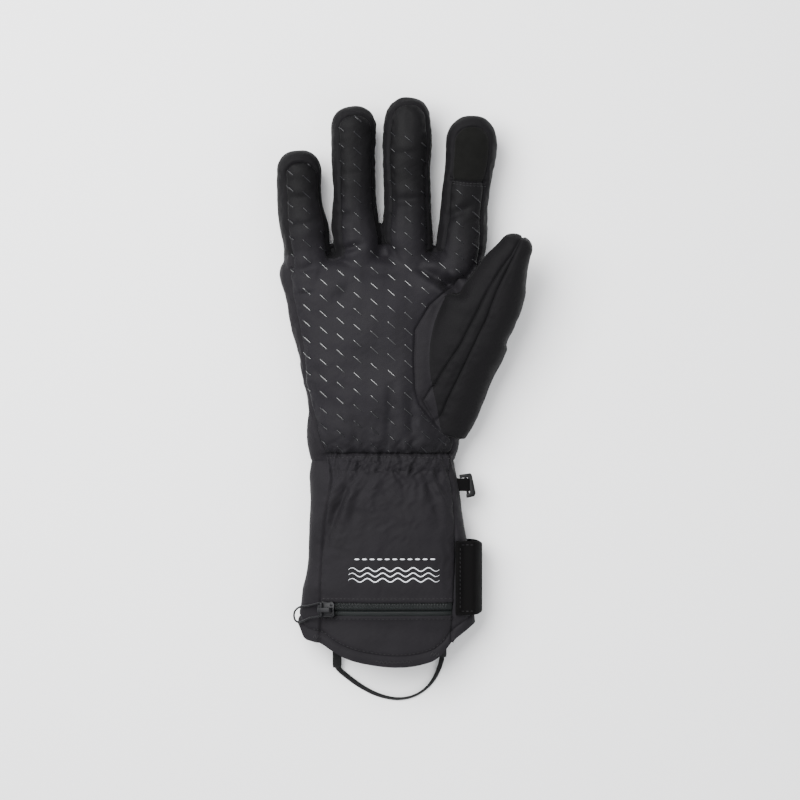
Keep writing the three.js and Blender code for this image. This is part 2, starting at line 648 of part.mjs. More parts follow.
// The back is sewn from the cuff, the hand and one piece for each finger, which wraps round its sides.
const knuckleY = trunkEndY + seamGap;
const zone = (left, right, low, high) => prism([[left, low], [right, low], [right, high], [left, high]], -skyHigh, skyHigh);
glove.add(meshOf("cuff_back", backShell.intersect(zone(farLeft, farRight, farBelow(), wristY - seamGap)), shellCloth));
glove.add(meshOf("hand_back", backShell.intersect(zone(farLeft, farRight, wristY, knuckleY)), shellCloth));
fingers.forEach((row, n) => {
  const between = (a, b) => acrossAt((a.rootX + b.rootX + a.midX + b.midX) / 4);
  const left = n ? between(fingers[n - 1], row) + seamGap : farLeft;
  const right = n + 1 < fingers.length ? between(row, fingers[n + 1]) : farRight;
  const piece = backShell.intersect(zone(left, right, knuckleY + seamGap, 2 * handLength));
  glove.add(meshOf(`${row.name}_finger_back`, piece, shellCloth));
});
glove.add(meshOf("palm_panel", palmPanels.subtract(patchZone(patchBottom - seamGap)), palmCloth));
glove.add(meshOf("touch_patch", palmPanels.intersect(patchZone(patchBottom)), patchCloth));
glove.add(meshOf("hem_band", hemBand, shellCloth));

const frontBand = (low, high) => {
  const band = [[farLeft, low], [farRight, low], [farRight, high], [farLeft, high]];
  return upperHand.intersect(panelPrism(front)).intersect(panelPrism(band));
};
const pocketPanel = frontBand(zipTop + seamGap, pocketTop);
const flapPanel = frontBand(farBelow(), flapTop);
glove.add(meshOf("pocket_panel", pocketPanel, shellCloth));
glove.add(meshOf("hem_panel", flapPanel, shellCloth));

// Thumb, cut clear of the hand, with its narrow strip let in.
const stripPoints = (rows) => rows.map((p) => [acrossAt(p.x), heightAt(p.y)]);
const stripOutline = [...stripPoints(thumbStrip.inner), ...stripPoints(thumbStrip.outer)];
const stripPrism = (grow) => prism(grown(stripOutline, grow), thumbCentres()[3].z, skyHigh);
const thumbShell = thumb(0, skin).subtract(thumbHollow).subtract(handSolid(-seamGap, skin));
glove.add(meshOf("thumb_shell", thumbShell.subtract(stripPrism(seamGap)), shellCloth));
glove.add(meshOf("thumb_strip", thumbShell.intersect(stripPrism(0)), shellCloth));

// Wrist gathers: a band of cloth drawn into ripples by the elastic behind it.
const gatherLeft = Math.max(seamX("left", gatherTop), seamX("left", gatherBottom)) + seamGap;
const gatherRight = Math.min(seamX("right", gatherTop), seamX("right", gatherBottom)) - seamGap;
const gatherWaves = Math.max(3, Math.round((gatherRight - gatherLeft) / gatherPitch));
const ripple = (x, y) => {
  const across = (x - gatherLeft) / (gatherRight - gatherLeft);
  const down = (gatherTop - y) / gatherHeight;
  return gatherDepth * Math.sin(Math.PI * down) * Math.cos(2 * Math.PI * gatherWaves * across);
};
const gatherBand = slab(
  spread(gatherLeft, gatherRight, gatherWaves * 4),
  spread(gatherBottom, gatherTop, 3),
  (x, y) => trunkTop(x, y) + ripple(x, y),
  (x, y) => trunkTop(x, y) + ripple(x, y) - wall,
);
glove.add(meshOf("wrist_gathers", gatherBand, shellCloth));

// Zip: tape in its slot, and the chain of coils along its middle.
const zipLeft = seamX("left", zipMiddleY) + seamGap;
const zipRight = seamX("right", zipMiddleY) - seamGap;
const tapeSink = 1; // how far the tape lies below the pocket's surface
const tapeTop = (x) => trunkTop(x, zipMiddleY) - tapeSink;
const tape = slab(spread(zipLeft, zipRight, 16), [zipBottom, zipTop], tapeTop, (x) => tapeTop(x) - tapeThickness);
const chainTop = (x) => tapeTop(x) + seamGap + chainHeight;
const chain = slab(
  spread(zipLeft + 1, zipRight - 1, 16),
  [-0.5, -0.3, 0.3, 0.5].map((t) => zipMiddleY + t * chainWidth),
  (x, y) => chainTop(x) - (Math.abs(y - zipMiddleY) > 0.35 * chainWidth ? 0.35 * chainHeight : 0),
  (x) => tapeTop(x) + seamGap,
);
glove.add(meshOf("zip_tape", tape, zipCloth));
glove.add(meshOf("zip_chain", chain, zipPlastic));

const hingeX = -0.22 * sliderLength; // the pull's wire from the slider's middle
// Slider and pull lie in one tilted group, in line with the cuff where the slider stands.
const sliderX = zipLeft + sliderStart * sliderLength;
const sliderSlope = (chainTop(sliderX + sliderLength / 2) - chainTop(sliderX - sliderLength / 2)) / sliderLength;
const sliderGroup = new THREE.Group();
sliderGroup.position.set(sliderX, zipMiddleY, chainTop(sliderX) + 2 * seamGap);
sliderGroup.rotation.y = -Math.atan(sliderSlope);
glove.add(sliderGroup);

// Slider plate, seen from above: shares of its length and width.
const plateShape = [
  [-0.5, -0.22],
  [-0.22, -0.5],
  [0.36, -0.5],
  [0.5, -0.3],
  [0.5, 0.3],
  [0.36, 0.5],
  [-0.22, 0.5],
  [-0.5, 0.22],
].map(([x, y]) => [x * sliderLength, y * sliderWidth]);
const plate = prism(plateShape, 0, sliderPlate);
const eyeHeight = bridgeHeight - bridgeBar;
const bridgeOutline = [
  [-0.44 * sliderLength, 0],
  [0.4 * sliderLength, 0],
  [0.32 * sliderLength, bridgeHeight],
  [-0.38 * sliderLength, bridgeHeight],
];
const eyeOutline = [
  [hingeX - 0.13 * sliderLength, -bridgeBar],
  [hingeX + 0.26 * sliderLength, -bridgeBar],
  [hingeX + 0.22 * sliderLength, eyeHeight],
  [hingeX - 0.1 * sliderLength, eyeHeight],
];
// A prism drawn in X and Z and centred on Y.
function sidePrism(outline, width) {
  const shape = new THREE.Shape(outline.map(([x, z]) => new THREE.Vector2(x, z)));
  const geometry = new THREE.ExtrudeGeometry(shape, { depth: width, bevelEnabled: false });
  geometry.rotateX(Math.PI / 2);
  geometry.translate(0, width / 2, 0);
  return solidOf(geometry);
}
const bridge = sidePrism(bridgeOutline, bridgeWidth).subtract(sidePrism(eyeOutline, bridgeWidth + 2));
const joined = 0.05; // how far the bridge's foot runs into the plate
const slider = plate.add(bridge.translate([0, 0, sliderPlate - joined]));
sliderGroup.add(meshOf("zip_slider", slider, blackMetal));

// The pull is a closed loop of wire. It hangs from the bridge and lies on the cuff's edge.
const hingeHeight = sliderPlate + 0.6 * eyeHeight;
const pullPlan = [
  [0, 0.5 * pullWidth],
  [0, 0],
  [0, -0.5 * pullWidth],
  [-0.07 * pullLength, -0.56 * pullWidth],
  [-0.4 * pullLength, -0.5 * pullWidth - 0.4 * pullSkew],
  [-0.78 * pullLength, -0.5 * pullEndWidth - 0.85 * pullSkew],
  [-0.95 * pullLength, -0.32 * pullEndWidth - pullSkew],
  [-pullLength, -pullSkew],
  [-0.95 * pullLength, 0.32 * pullEndWidth - pullSkew],
  [-0.78 * pullLength, 0.5 * pullEndWidth - 0.85 * pullSkew],
  [-0.4 * pullLength, 0.5 * pullWidth - 0.3 * pullSkew],
  [-0.07 * pullLength, 0.56 * pullWidth],
];
const hinge = new THREE.Vector3(hingeX, 0, hingeHeight).applyEuler(sliderGroup.rotation).add(sliderGroup.position);
const pullCurve = new THREE.CatmullRomCurve3(pullPlan.map(([x, y]) => new THREE.Vector3(x, y, 0)), true, "catmullrom", 0.35);
const pullSteps = 30;
const pullPoints = pullCurve.getSpacedPoints(pullSteps).slice(0, pullSteps);
// The pull falls from its hinge until its wire lies on the cuff's rounded side.
const seenLength = 0.87; // how long the fallen pull looks from above, as a share of its length
const pullFall = Math.min(
  ...pullPoints
    .filter((p) => p.x < -0.35 * pullLength)
    .map((p) => {
      const clear = trunkTop(hinge.x + seenLength * p.x, hinge.y + p.y) + pullWire / 2 + 2 * seamGap;
      return Math.atan2(hinge.z - clear, -seenLength * p.x);
    }),
);
const pull = meshOf("zip_pull", tube(pullPoints, pullWire, pullWire, 6, true), blackMetal);
const pullGroup = new THREE.Group();
pullGroup.position.copy(hinge);
pullGroup.rotation.y = -pullFall;
pullGroup.add(pull);
glove.add(pullGroup);

// Cuff strap: sewn at the pocket's seam, out past the cuff's edge, round and back under the cuff.
const strapSection = trunkSection(strapMiddleY, 0);
const strapStart = seamX("right", strapMiddleY) + 2 * seamGap;
const cuffEdge = strapSection.middle + strapSection.half;
const strapOut = cuffEdge + strapReach;
const strapFrom = strapMiddleY - strapWidth / 2;
const strapCentre = (strapSection.top + strapThickness) / 2;
const strapLow = strapThickness / 2;
const overEdge = (x, y) => trunkTop(x, y) + seamGap + strapThickness / 2;
const strapHigh = (x) => Math.max(overEdge(x, strapFrom), overEdge(x, strapMiddleY), overEdge(x, strapFrom + strapWidth));
const strapKnots = [
  [strapStart, strapHigh(strapStart)],
  [(strapStart + cuffEdge) / 2, strapHigh((strapStart + cuffEdge) / 2)],
  [cuffEdge + 0.25 * strapReach, strapCentre + 0.62 * (strapSection.top - strapCentre)],
  [strapOut - strapThickness / 2, strapCentre],
  [cuffEdge + 0.3 * strapReach, strapLow + 0.2 * strapCentre],
  [cuffEdge - 0.6 * strapReach, strapLow],
  [cuffEdge - 1.4 * strapReach, strapLow],
  [cuffEdge - strapTail, strapLow],
];
const strapCurve = new THREE.CatmullRomCurve3(strapKnots.map(([x, z]) => new THREE.Vector3(x, 0, z)), false, "centripetal");
const strapPath = spread(0, 1, 30).map((t) => ({ p: strapCurve.getPoint(t), d: strapCurve.getTangent(t) }));
const strapSide = (out) =>
  strapPath.map(({ p, d }) => [p.x - (out * d.z * strapThickness) / 2, Math.max(0, p.z + (out * d.x * strapThickness) / 2)]);
const strapOutline = [...strapSide(1), ...strapSide(-1).reverse()];
const strap = sidePrism(strapOutline, strapWidth).translate([0, strapMiddleY, 0]);
const cuffClear = trunk(-seamGap, skin);
glove.add(meshOf("cuff_strap", strap.subtract(cuffClear), strapCloth));

// Clip: a hook bent like a bracket, held by a doubled webbing that comes out of the side seam.
const clipY = belowWrist(0.116);
const clipEdge = trunkSection(clipY, 0).middle + trunkSection(clipY, 0).half;
const clipZ = trunkSection(clipY, 0).centre;
const clipLeft = clipEdge + 1.2;
const clipRight = clipEdge + clipReach;
const clipLow = -0.5 * clipLength;
const clipShape = [
  [clipLeft, 0.5 * clipLength],
  [clipLeft, 0.5 * clipLength - 0.75 * clipBar],
  [clipRight - clipBar, 0.5 * clipLength - 0.85 * clipBar],
  [clipRight - 0.8 * clipBar, clipLow + clipBar],
  [clipLeft + 0.32 * clipReach, clipLow + 0.75 * clipBar],
  [clipLeft + 0.32 * clipReach, clipLow - 0.1 * clipBar],
  [clipRight - 0.1 * clipBar, clipLow + 0.15 * clipBar],
  [clipRight + 0.4 * clipBar, clipLow + 0.7 * clipBar],
  [clipRight, 0.5 * clipLength - 0.3 * clipBar],
  [clipRight - 0.3 * clipBar, 0.5 * clipLength],
].map(([x, y]) => [x, y + clipY]);
const clipThick = clipBar;
glove.add(meshOf("clip_hook", prism(clipShape, clipZ - clipThick / 2, clipZ + clipThick / 2), clipPlastic));
const webHigh = clipThick / 2 + seamGap;
const webRight = clipRight + 0.4 * clipBar + seamGap;
const webLeft = clipEdge + 2 * seamGap;
const webOutline = [
  [webLeft, webHigh + webbingThickness],
  [webRight, webHigh + webbingThickness],
  [webRight + webbingThickness, webHigh],
  [webRight + webbingThickness, -webHigh],
  [webRight, -webHigh - webbingThickness],
  [webLeft, -webHigh - webbingThickness],
  [webLeft, -webHigh],
  [webRight, -webHigh],
  [webRight, webHigh],
  [webLeft, webHigh],
];
const webbing = sidePrism(webOutline, webbingWidth).translate([0, clipY, clipZ]).subtract(cuffClear);
glove.add(meshOf("clip_webbing_palm_side", webbing, ribbonCloth));

// Leash: a flat ribbon between two tabs that are sewn inside the back of the hem.
const leashPoints = new THREE.CatmullRomCurve3(leashRoute.map((p) => new THREE.Vector3(p.x, p.y, p.z))).getSpacedPoints(26);
glove.add(meshOf("leash_ribbon", tube(leashPoints, leashWidth, leashThickness, 8, false), ribbonCloth));
[leashPoints[0], leashPoints[leashPoints.length - 1]].forEach((end, n) => {
  const name = n ? "leash_tab_right" : "leash_tab_left";
  const top = end.y + leashTabLength;
  const xs = [end.x - leashTabWidth / 2, end.x + leashTabWidth / 2];
  const seat = Math.max(...xs.map((x) => trunkFloor(trunkSection(top, wall), x))) + 3 * seamGap;
  const rise = (y) => end.z + (seat + leashTabThickness / 2 - end.z) * Math.min(1, (y - end.y) / 3);
  const tab = slab(
    xs,
    [end.y + 2 * seamGap, end.y + 3, top],
    (x, y) => rise(y) + leashTabThickness / 2,
    (x, y) => rise(y) - leashTabThickness / 2,
  );
  glove.add(meshOf(name, tab, ribbonCloth));
});

export default glove;
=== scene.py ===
import bpy
import math
import numpy as np
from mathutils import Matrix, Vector
from mathutils.bvhtree import BVHTree


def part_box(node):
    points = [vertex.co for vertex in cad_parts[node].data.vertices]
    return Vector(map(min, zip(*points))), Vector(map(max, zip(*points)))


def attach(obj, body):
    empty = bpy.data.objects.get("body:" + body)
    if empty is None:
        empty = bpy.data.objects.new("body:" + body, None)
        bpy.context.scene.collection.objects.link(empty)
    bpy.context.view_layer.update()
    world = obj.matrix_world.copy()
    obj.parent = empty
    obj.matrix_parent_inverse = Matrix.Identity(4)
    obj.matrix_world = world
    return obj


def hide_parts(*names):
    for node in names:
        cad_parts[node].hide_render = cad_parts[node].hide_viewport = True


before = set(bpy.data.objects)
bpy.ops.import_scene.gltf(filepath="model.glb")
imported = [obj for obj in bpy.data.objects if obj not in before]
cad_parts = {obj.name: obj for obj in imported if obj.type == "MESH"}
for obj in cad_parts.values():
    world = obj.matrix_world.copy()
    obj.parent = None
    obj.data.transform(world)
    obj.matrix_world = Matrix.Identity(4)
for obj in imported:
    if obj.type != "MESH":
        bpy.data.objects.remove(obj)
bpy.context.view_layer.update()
print("frame loaded:", len(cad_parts), "nodes")

# All shapes below are worked out in millimetres and turned into metres when a mesh is made.
mm = 0.001

# Camera straight above the glove, as in the photograph
cameraLook = {
    "target": (-1.9, -10.2),      # what the middle of the picture shows, mm
    "height": 1500.0,
    "frameWidth": 440.0,          # how much of the surface the picture spans
    "sensor": 36.0,
    "middle": 16.0,               # half the glove's height, mm
    "farClip": 20.0,              # metres
}


def makeCamera(look):
    cam = bpy.data.cameras.new("viewCamera")
    cam.sensor_width = look["sensor"]
    cam.sensor_fit = "HORIZONTAL"
    cam.lens = look["sensor"] * look["height"] / look["frameWidth"]
    cam.clip_end = look["farClip"]
    obj = bpy.data.objects.new("viewCamera", cam)
    obj.location = (look["target"][0] * mm, look["target"][1] * mm, (look["height"] + look["middle"]) * mm)
    bpy.context.scene.collection.objects.link(obj)
    bpy.context.scene.camera = obj


makeCamera(cameraLook)


# Small tools


def curveThrough(rows, at):
    # smooth curve through (x, value) rows, level beyond both ends
    rows = np.asarray(rows, float)
    xs, ys = rows[:, 0], rows[:, 1]
    at = np.clip(np.asarray(at, float), xs[0], xs[-1])
    i = np.clip(np.searchsorted(xs, at, side="right") - 1, 0, len(xs) - 2)
    last = len(xs) - 1
    after = np.minimum(np.arange(len(xs)) + 1, last)
    before = np.maximum(np.arange(len(xs)) - 1, 0)
    slope = (ys[after] - ys[before]) / (xs[after] - xs[before])
    step = xs[i + 1] - xs[i]
    t = (at - xs[i]) / step
    m0, m1 = slope[i] * step, slope[i + 1] * step
    rise = ys[i + 1] - ys[i]
    return ys[i] + t * (m0 + t * (3 * rise - 2 * m0 - m1 + t * (m0 + m1 - 2 * rise)))


def smooth01(t):
    t = np.clip(t, 0.0, 1.0)
    return t * t * (3 - 2 * t)


def bump(distance, width):
    return np.exp(-(distance / width) ** 2)


def waveNoise(points, size, seed, waves=7):
    # soft noise from a few plane waves of about the given size, between -1 and 1
    rng = np.random.default_rng(seed)
    total = np.zeros(len(points))
    for _ in range(waves):
        way = rng.normal(size=points.shape[1])
        way *= rng.uniform(0.7, 1.4) / (size * np.linalg.norm(way))
        total += np.sin(2 * np.pi * (points @ way) + rng.uniform(0, 2 * np.pi))
    return total / math.sqrt(waves / 2) / 1.6


def toLine(x, y, points):
    # distance to an open line of points, and the share of the way along it
    best = np.full(np.shape(x), 1e9)
    share = np.zeros(np.shape(x))
    pts = np.asarray(points, float)
    lengths = np.hypot(*(pts[1:] - pts[:-1]).T)
    run = np.concatenate([[0], np.cumsum(lengths)])
    for k in range(len(pts) - 1):
        d = pts[k + 1] - pts[k]
        t = np.clip(((x - pts[k, 0]) * d[0] + (y - pts[k, 1]) * d[1]) / (d @ d), 0, 1)
        away = np.hypot(x - pts[k, 0] - t * d[0], y - pts[k, 1] - t * d[1])
        near = away < best
        best = np.where(near, away, best)
        share = np.where(near, (run[k] + t * lengths[k]) / run[-1], share)
    return best, share


def insideOutline(x, y, points):
    # signed distance to a closed outline, negative inside
    pts = np.asarray(points, float)
    away, _ = toLine(x, y, np.vstack([pts, pts[:1]]))
    odd = np.zeros(np.shape(x), bool)
    for (x0, y0), (x1, y1) in zip(pts, np.roll(pts, -1, axis=0)):
        crosses = (y0 > y) != (y1 > y)
        with np.errstate(divide="ignore", invalid="ignore"):
            at = x0 + (y - y0) * (x1 - x0) / (y1 - y0)
        odd ^= crosses & (x < at)
    return np.where(odd, -away, away)


def runOf(path):
    # how far along a path each of its points lies
    return np.concatenate([[0], np.cumsum(np.linalg.norm(np.diff(path, axis=0), axis=1))])


def squared(wave, power):
    # a sine or cosine drawn out toward a square's corners
    return np.sign(wave) * np.abs(wave) ** power


def densePath(points, step):
    # a smooth path through the points with a vertex about every step
    pts = np.asarray(points, float)
    run = runOf(pts)
    count = max(2, int(round(run[-1] / step)) + 1)
    at = np.linspace(0, run[-1], count)
    return np.stack([curveThrough(np.stack([run, column], 1), at) for column in pts.T], 1)


def meshPiece(name, verts, faces, material, body="glove"):
    mesh = bpy.data.meshes.new(name)
    mesh.from_pydata((np.asarray(verts, float) * mm).tolist(), [], [list(map(int, f)) for f in faces])
    mesh.validate()
    mesh.update()
    mesh.polygons.foreach_set("use_smooth", [True] * len(mesh.polygons))
    mesh.materials.append(material)
    obj = bpy.data.objects.new(name, mesh)
    bpy.context.scene.collection.objects.link(obj)
    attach(obj, body)
    return obj


def loftFaces(rings, sides, closedPath=False):
    # quads between rings of vertices, with an end face on each end of an open path
    faces = []
    for r in range(rings if closedPath else rings - 1):
        nextRing = (r + 1) % rings
        for i in range(sides):
            j = (i + 1) % sides
            faces.append((r * sides + i, r * sides + j, nextRing * sides + j, nextRing * sides + i))
    if not closedPath:
        faces.append(tuple(reversed(range(sides))))
        faces.append(tuple((rings - 1) * sides + i for i in range(sides)))
    return faces


class Pile:
    # many small solids gathered into one mesh
    def __init__(self):
        self.verts, self.faces, self.count = [], [], 0

    def add(self, verts, faces):
        self.verts.append(np.asarray(verts, float))
        self.faces.extend(tuple(v + self.count for v in f) for f in faces)
        self.count += len(verts)

    def piece(self, name, material):
        return meshPiece(name, np.vstack(self.verts), self.faces, material)


def tubeAlong(path, half, sides=8, closedPath=False, flat=1.0, up=None, taper=False):
    # vertices and faces of a round or flattened tube along a path; up holds a direction for each point
    path = np.asarray(path, float)
    n = len(path)
    if closedPath:
        tangent = np.roll(path, -1, axis=0) - np.roll(path, 1, axis=0)
    else:
        tangent = np.gradient(path, axis=0)
    tangent /= np.linalg.norm(tangent, axis=1)[:, None]
    upward = np.tile([0.0, 0.0, 1.0], (n, 1)) if up is None else np.asarray(up, float)
    side = np.cross(tangent, upward)
    side /= np.maximum(np.linalg.norm(side, axis=1), 1e-9)[:, None]
    lift = np.cross(side, tangent)
    size = np.full(n, half, float)
    if taper:
        size *= np.sqrt(np.clip(1 - np.linspace(-1, 1, n) ** 4, 0.12, 1))
    angle = 2 * np.pi * np.arange(sides) / sides
    ring = (np.cos(angle)[None, :, None] * side[:, None, :] * size[:, None, None]
            + np.sin(angle)[None, :, None] * lift[:, None, :] * (size * flat)[:, None, None])
    verts = (path[:, None, :] + ring).reshape(-1, 3)
    return verts, loftFaces(n, sides, closedPath=closedPath)


# Materials


def setSockets(mat, node, inputs):
    # a value sets its socket, and another node's output is linked to it
    for key, value in inputs.items():
        if isinstance(value, bpy.types.NodeSocket):
            mat.node_tree.links.new(value, node.inputs[key])
        else:
            node.inputs[key].default_value = value


def addNode(mat, kind, inputs, **settings):
    node = mat.node_tree.nodes.new("ShaderNode" + kind)
    for key, value in settings.items():
        setattr(node, key, value)
    setSockets(mat, node, inputs)
    return node


def newMaterial(name):
    mat = bpy.data.materials.new(name)
    mat.use_nodes = True
    return mat, mat.node_tree.nodes["Principled BSDF"]


def mapped(mat, value, low, high):
    return addNode(mat, "MapRange", {"Value": value, "To Min": low, "To Max": high}).outputs["Result"]


def blended(mat, value, color, low, high, ends=(0.0, 1.0)):
    # the colour made darker or lighter with the value
    ramp = addNode(mat, "ValToRGB", {"Fac": value})
    for stop, place, share in zip(ramp.color_ramp.elements, ends, (low, high)):
        stop.position = place
        stop.color = (*[c * share for c in color], 1)
    return ramp.outputs["Color"]


def paintedMiddleLight(mat, place, paintedLight):
    # painted light round the middle of the palm at full strength, fading to painted shade beyond it
    centre = tuple(c * mm for c in paintedLight["centre"])
    away = addNode(mat, "VectorMath", {0: place, 1: centre}, operation="DISTANCE")
    fade = addNode(mat, "MapRange", {
        "Value": away.outputs["Value"], "From Min": paintedLight["near"] * mm, "From Max": paintedLight["far"] * mm,
        "To Min": paintedLight["full"], "To Max": paintedLight["low"]}, interpolation_type="SMOOTHSTEP")
    return fade.outputs["Result"]


weave = {"threadWave": 3.2, "distortion": 1.4, "detail": 2.0, "detailScale": 3.0, "grainDetail": 4.0,
         "patchDetail": 5.0, "patchEnds": (0.3, 0.72), "hollowShadeFrom": 0.6, "hollowShadeTo": 2.2, "dull": 0.08,
         "sheenRough": 0.45}


def clothMaterial(name, look):
    # woven cloth: fine crossed threads in the bump, soft patches in the colour, painted shade in the
    # weave's hollows and painted light on its thread tops, sheen at the edges
    mat, shader = newMaterial(name)
    place = addNode(mat, "TexCoord", {}).outputs["Object"]
    threads = []
    for turn in (look["turn"], look["turn"] + math.pi / 2):
        turned = addNode(mat, "Mapping", {"Rotation": (0.0, 0.0, turn), "Vector": place})
        wave = addNode(mat, "TexWave", {
            "Scale": 1.0 / (look["thread"] * mm) / weave["threadWave"], "Distortion": weave["distortion"],
            "Detail": weave["detail"], "Detail Scale": weave["detailScale"],
            "Vector": turned.outputs["Vector"]})
        threads.append(wave.outputs["Fac"])
    crossed = addNode(mat, "Math", {0: threads[0], 1: threads[1]}, operation="ADD").outputs[0]
    grain = addNode(mat, "TexNoise", {
        "Scale": 1.0 / (look["grain"] * mm), "Detail": weave["grainDetail"], "Vector": place})
    rough = addNode(mat, "Math", {0: crossed, 1: grain.outputs["Fac"]}, operation="ADD").outputs[0]
    relief = addNode(mat, "Bump", {
        "Strength": look["bump"], "Distance": look["depth"] * mm, "Height": rough})
    patch = addNode(mat, "TexNoise", {
        "Scale": 1.0 / (look["patch"] * mm), "Detail": weave["patchDetail"], "Vector": place})
    patches = patch.outputs["Fac"]
    colour = blended(mat, patches, look["color"], 1 - look["vary"], 1 + look["vary"], weave["patchEnds"])
    # the colour follows the weave's height: painted shade in the hollows between threads, painted light on
    # their tops
    weaveShade = addNode(mat, "MapRange", {
        "Value": rough, "From Min": weave["hollowShadeFrom"], "From Max": weave["hollowShadeTo"],
        "To Min": 1 - look["hollowShade"], "To Max": 1 + look["hollowShade"]})
    scales = [weaveShade.outputs["Result"]]
    # a look with painted light is lighter in the palm's middle and darker beyond it
    if "paintedLight" in look:
        scales.append(paintedMiddleLight(mat, place, look["paintedLight"]))
    for scale in scales:
        tint = addNode(mat, "VectorMath", {}, operation="SCALE")
        setSockets(mat, tint, {0: colour, "Scale": scale})
        colour = tint.outputs["Vector"]
    dull = mapped(mat, patches, look["roughness"] - weave["dull"],
                  min(1.0, look["roughness"] + weave["dull"]))
    setSockets(mat, shader, {
        "Normal": relief.outputs["Normal"], "Base Color": colour, "Roughness": dull,
        "Sheen Weight": look["sheen"], "Sheen Roughness": weave["sheenRough"],
        "Specular IOR Level": look["specular"]})
    return mat


moulded = {"detail": 6.0, "smooth": 0.75, "worn": 1.3, "dark": 0.85, "light": 1.2, "depth": 0.05}


def hardMaterial(name, look):
    # moulded or enamelled surface with fine wear in its gloss
    mat, shader = newMaterial(name)
    place = addNode(mat, "TexCoord", {}).outputs["Object"]
    wear = addNode(mat, "TexNoise", {
        "Scale": 1.0 / (look["grain"] * mm), "Detail": moulded["detail"], "Vector": place}).outputs["Fac"]
    relief = addNode(mat, "Bump", {
        "Strength": look["bump"], "Distance": moulded["depth"] * mm, "Height": wear})
    gloss = mapped(mat, wear, look["roughness"] * moulded["smooth"], look["roughness"] * moulded["worn"])
    setSockets(mat, shader, {
        "Normal": relief.outputs["Normal"], "Roughness": gloss,
        "Base Color": blended(mat, wear, look["color"], moulded["dark"], moulded["light"]),
        "Metallic": look["metal"], "Specular IOR Level": look["specular"]})
    # painted glints: the specular level is full round the palm's middle and dim beyond it
    if "paintedLight" in look:
        setSockets(mat, shader, {"Specular IOR Level": paintedMiddleLight(mat, place, look["paintedLight"])})
    return mat


# thread, grain and patch are sizes in millimetres
softshell = {"roughness": 0.72, "thread": 0.55, "turn": 0.0, "grain": 0.9, "bump": 0.45, "depth": 0.06,
             "patch": 22.0, "vary": 0.10, "hollowShade": 0.22, "sheen": 0.016, "specular": 0.09}
clothLooks = {
    "shellCloth": {**softshell, "color": (0.0078, 0.0070, 0.0084), "roughness": 0.70, "sheen": 0.02,
                   "specular": 0.1},
    "thumbCloth": {**softshell, "color": (0.0036, 0.0033, 0.0038), "turn": 0.4},
    # darker than the shell's cloth: painted shade on the finger backs, which curl away from the light
    "shadedFingerCloth": {**softshell, "color": (0.0040, 0.0037, 0.0043)},
    "palmCloth": {**softshell, "color": (0.0064, 0.0057, 0.0072), "roughness": 0.62, "thread": 0.6,
                  "grain": 1.0, "bump": 0.5, "depth": 0.07, "patch": 26.0, "hollowShade": 0.24, "sheen": 0.018,
                  "specular": 0.11,
                  # painted light in the middle of the palm, painted shade toward its edges and the fingers
                  "paintedLight": {"centre": (-20.0, 22.0, 30.0), "near": 40.0, "far": 95.0, "full": 1.12,
                           "low": 0.25}},
    "patchCloth": {**softshell, "color": (0.0048, 0.0048, 0.0045), "roughness": 0.95, "thread": 0.9,
                   "turn": 0.7, "grain": 0.5, "bump": 0.6, "patch": 6.0, "vary": 0.16, "hollowShade": 0.12,
                   "sheen": 0.03, "specular": 0.05},
    "tapeCloth": {**softshell, "color": (0.0038, 0.0050, 0.0050), "roughness": 0.45, "thread": 0.7,
                  "turn": 0.78, "grain": 1.2, "bump": 0.7, "depth": 0.10, "patch": 16.0, "vary": 0.12,
                  "hollowShade": 0.3, "sheen": 0.01, "specular": 0.2},
    "strapCloth": {**softshell, "color": (0.0022, 0.0020, 0.0021), "roughness": 0.8, "thread": 0.5,
                   "grain": 0.8, "bump": 0.5, "patch": 14.0, "vary": 0.14, "hollowShade": 0.2, "sheen": 0.008,
                   "specular": 0.05},
    "ribbonCloth": {**softshell, "color": (0.0050, 0.0050, 0.0053), "roughness": 0.6, "thread": 0.45,
                    "turn": 0.5, "grain": 0.6, "bump": 0.8, "depth": 0.1, "patch": 8.0, "vary": 0.16,
                    "hollowShade": 0.3, "sheen": 0.02, "specular": 0.16},
    "liningCloth": {**softshell, "color": (0.0040, 0.0040, 0.0043), "roughness": 0.95, "thread": 1.2,
                    "turn": 0.3, "grain": 1.6, "bump": 0.9, "depth": 0.25, "patch": 9.0, "vary": 0.2,
                    "hollowShade": 0.3, "sheen": 0.03, "specular": 0.06},
    "threadCloth": {**softshell, "color": (0.0085, 0.0080, 0.0092), "roughness": 0.5, "thread": 0.3,
                    "turn": 0.8, "grain": 0.4, "bump": 0.5, "depth": 0.05, "patch": 5.0, "vary": 0.2,
                    "hollowShade": 0.2, "sheen": 0.02, "specular": 0.25},
}
hardLooks = {
    "gripRubber": {"color": (0.0080, 0.0078, 0.0090), "roughness": 0.17, "metal": 0.0, "grain": 1.5,
                   "bump": 0.25, "specular": 0.9,
                   # painted glints on the dashes round the palm's middle, dimmer beyond it
                   "paintedLight": {"centre": (-20.0, 34.0, 30.0), "near": 34.0, "far": 62.0, "full": 1.0,
                            "low": 0.22}},
    "coilPlastic": {"color": (0.0040, 0.0052, 0.0054), "roughness": 0.4, "metal": 0.0, "grain": 1.0,
                    "bump": 0.2, "specular": 0.25},
    "blackEnamel": {"color": (0.0040, 0.0040, 0.0050), "roughness": 0.42, "metal": 0.0, "grain": 0.8,
                    "bump": 0.25, "specular": 0.2},
    "clipPlastic": {"color": (0.0034, 0.0034, 0.0038), "roughness": 0.42, "metal": 0.0, "grain": 0.6,
                    "bump": 0.3, "specular": 0.14},
    "printInk": {"color": (0.60, 0.61, 0.64), "roughness": 0.42, "metal": 0.1, "grain": 0.35,
                 "bump": 0.4, "specular": 0.5},
}
looks = {name: clothMaterial(name, look) for name, look in clothLooks.items()}
looks.update({name: hardMaterial(name, look) for name, look in hardLooks.items()})
print("materials made:", len(looks))


# The glove's form

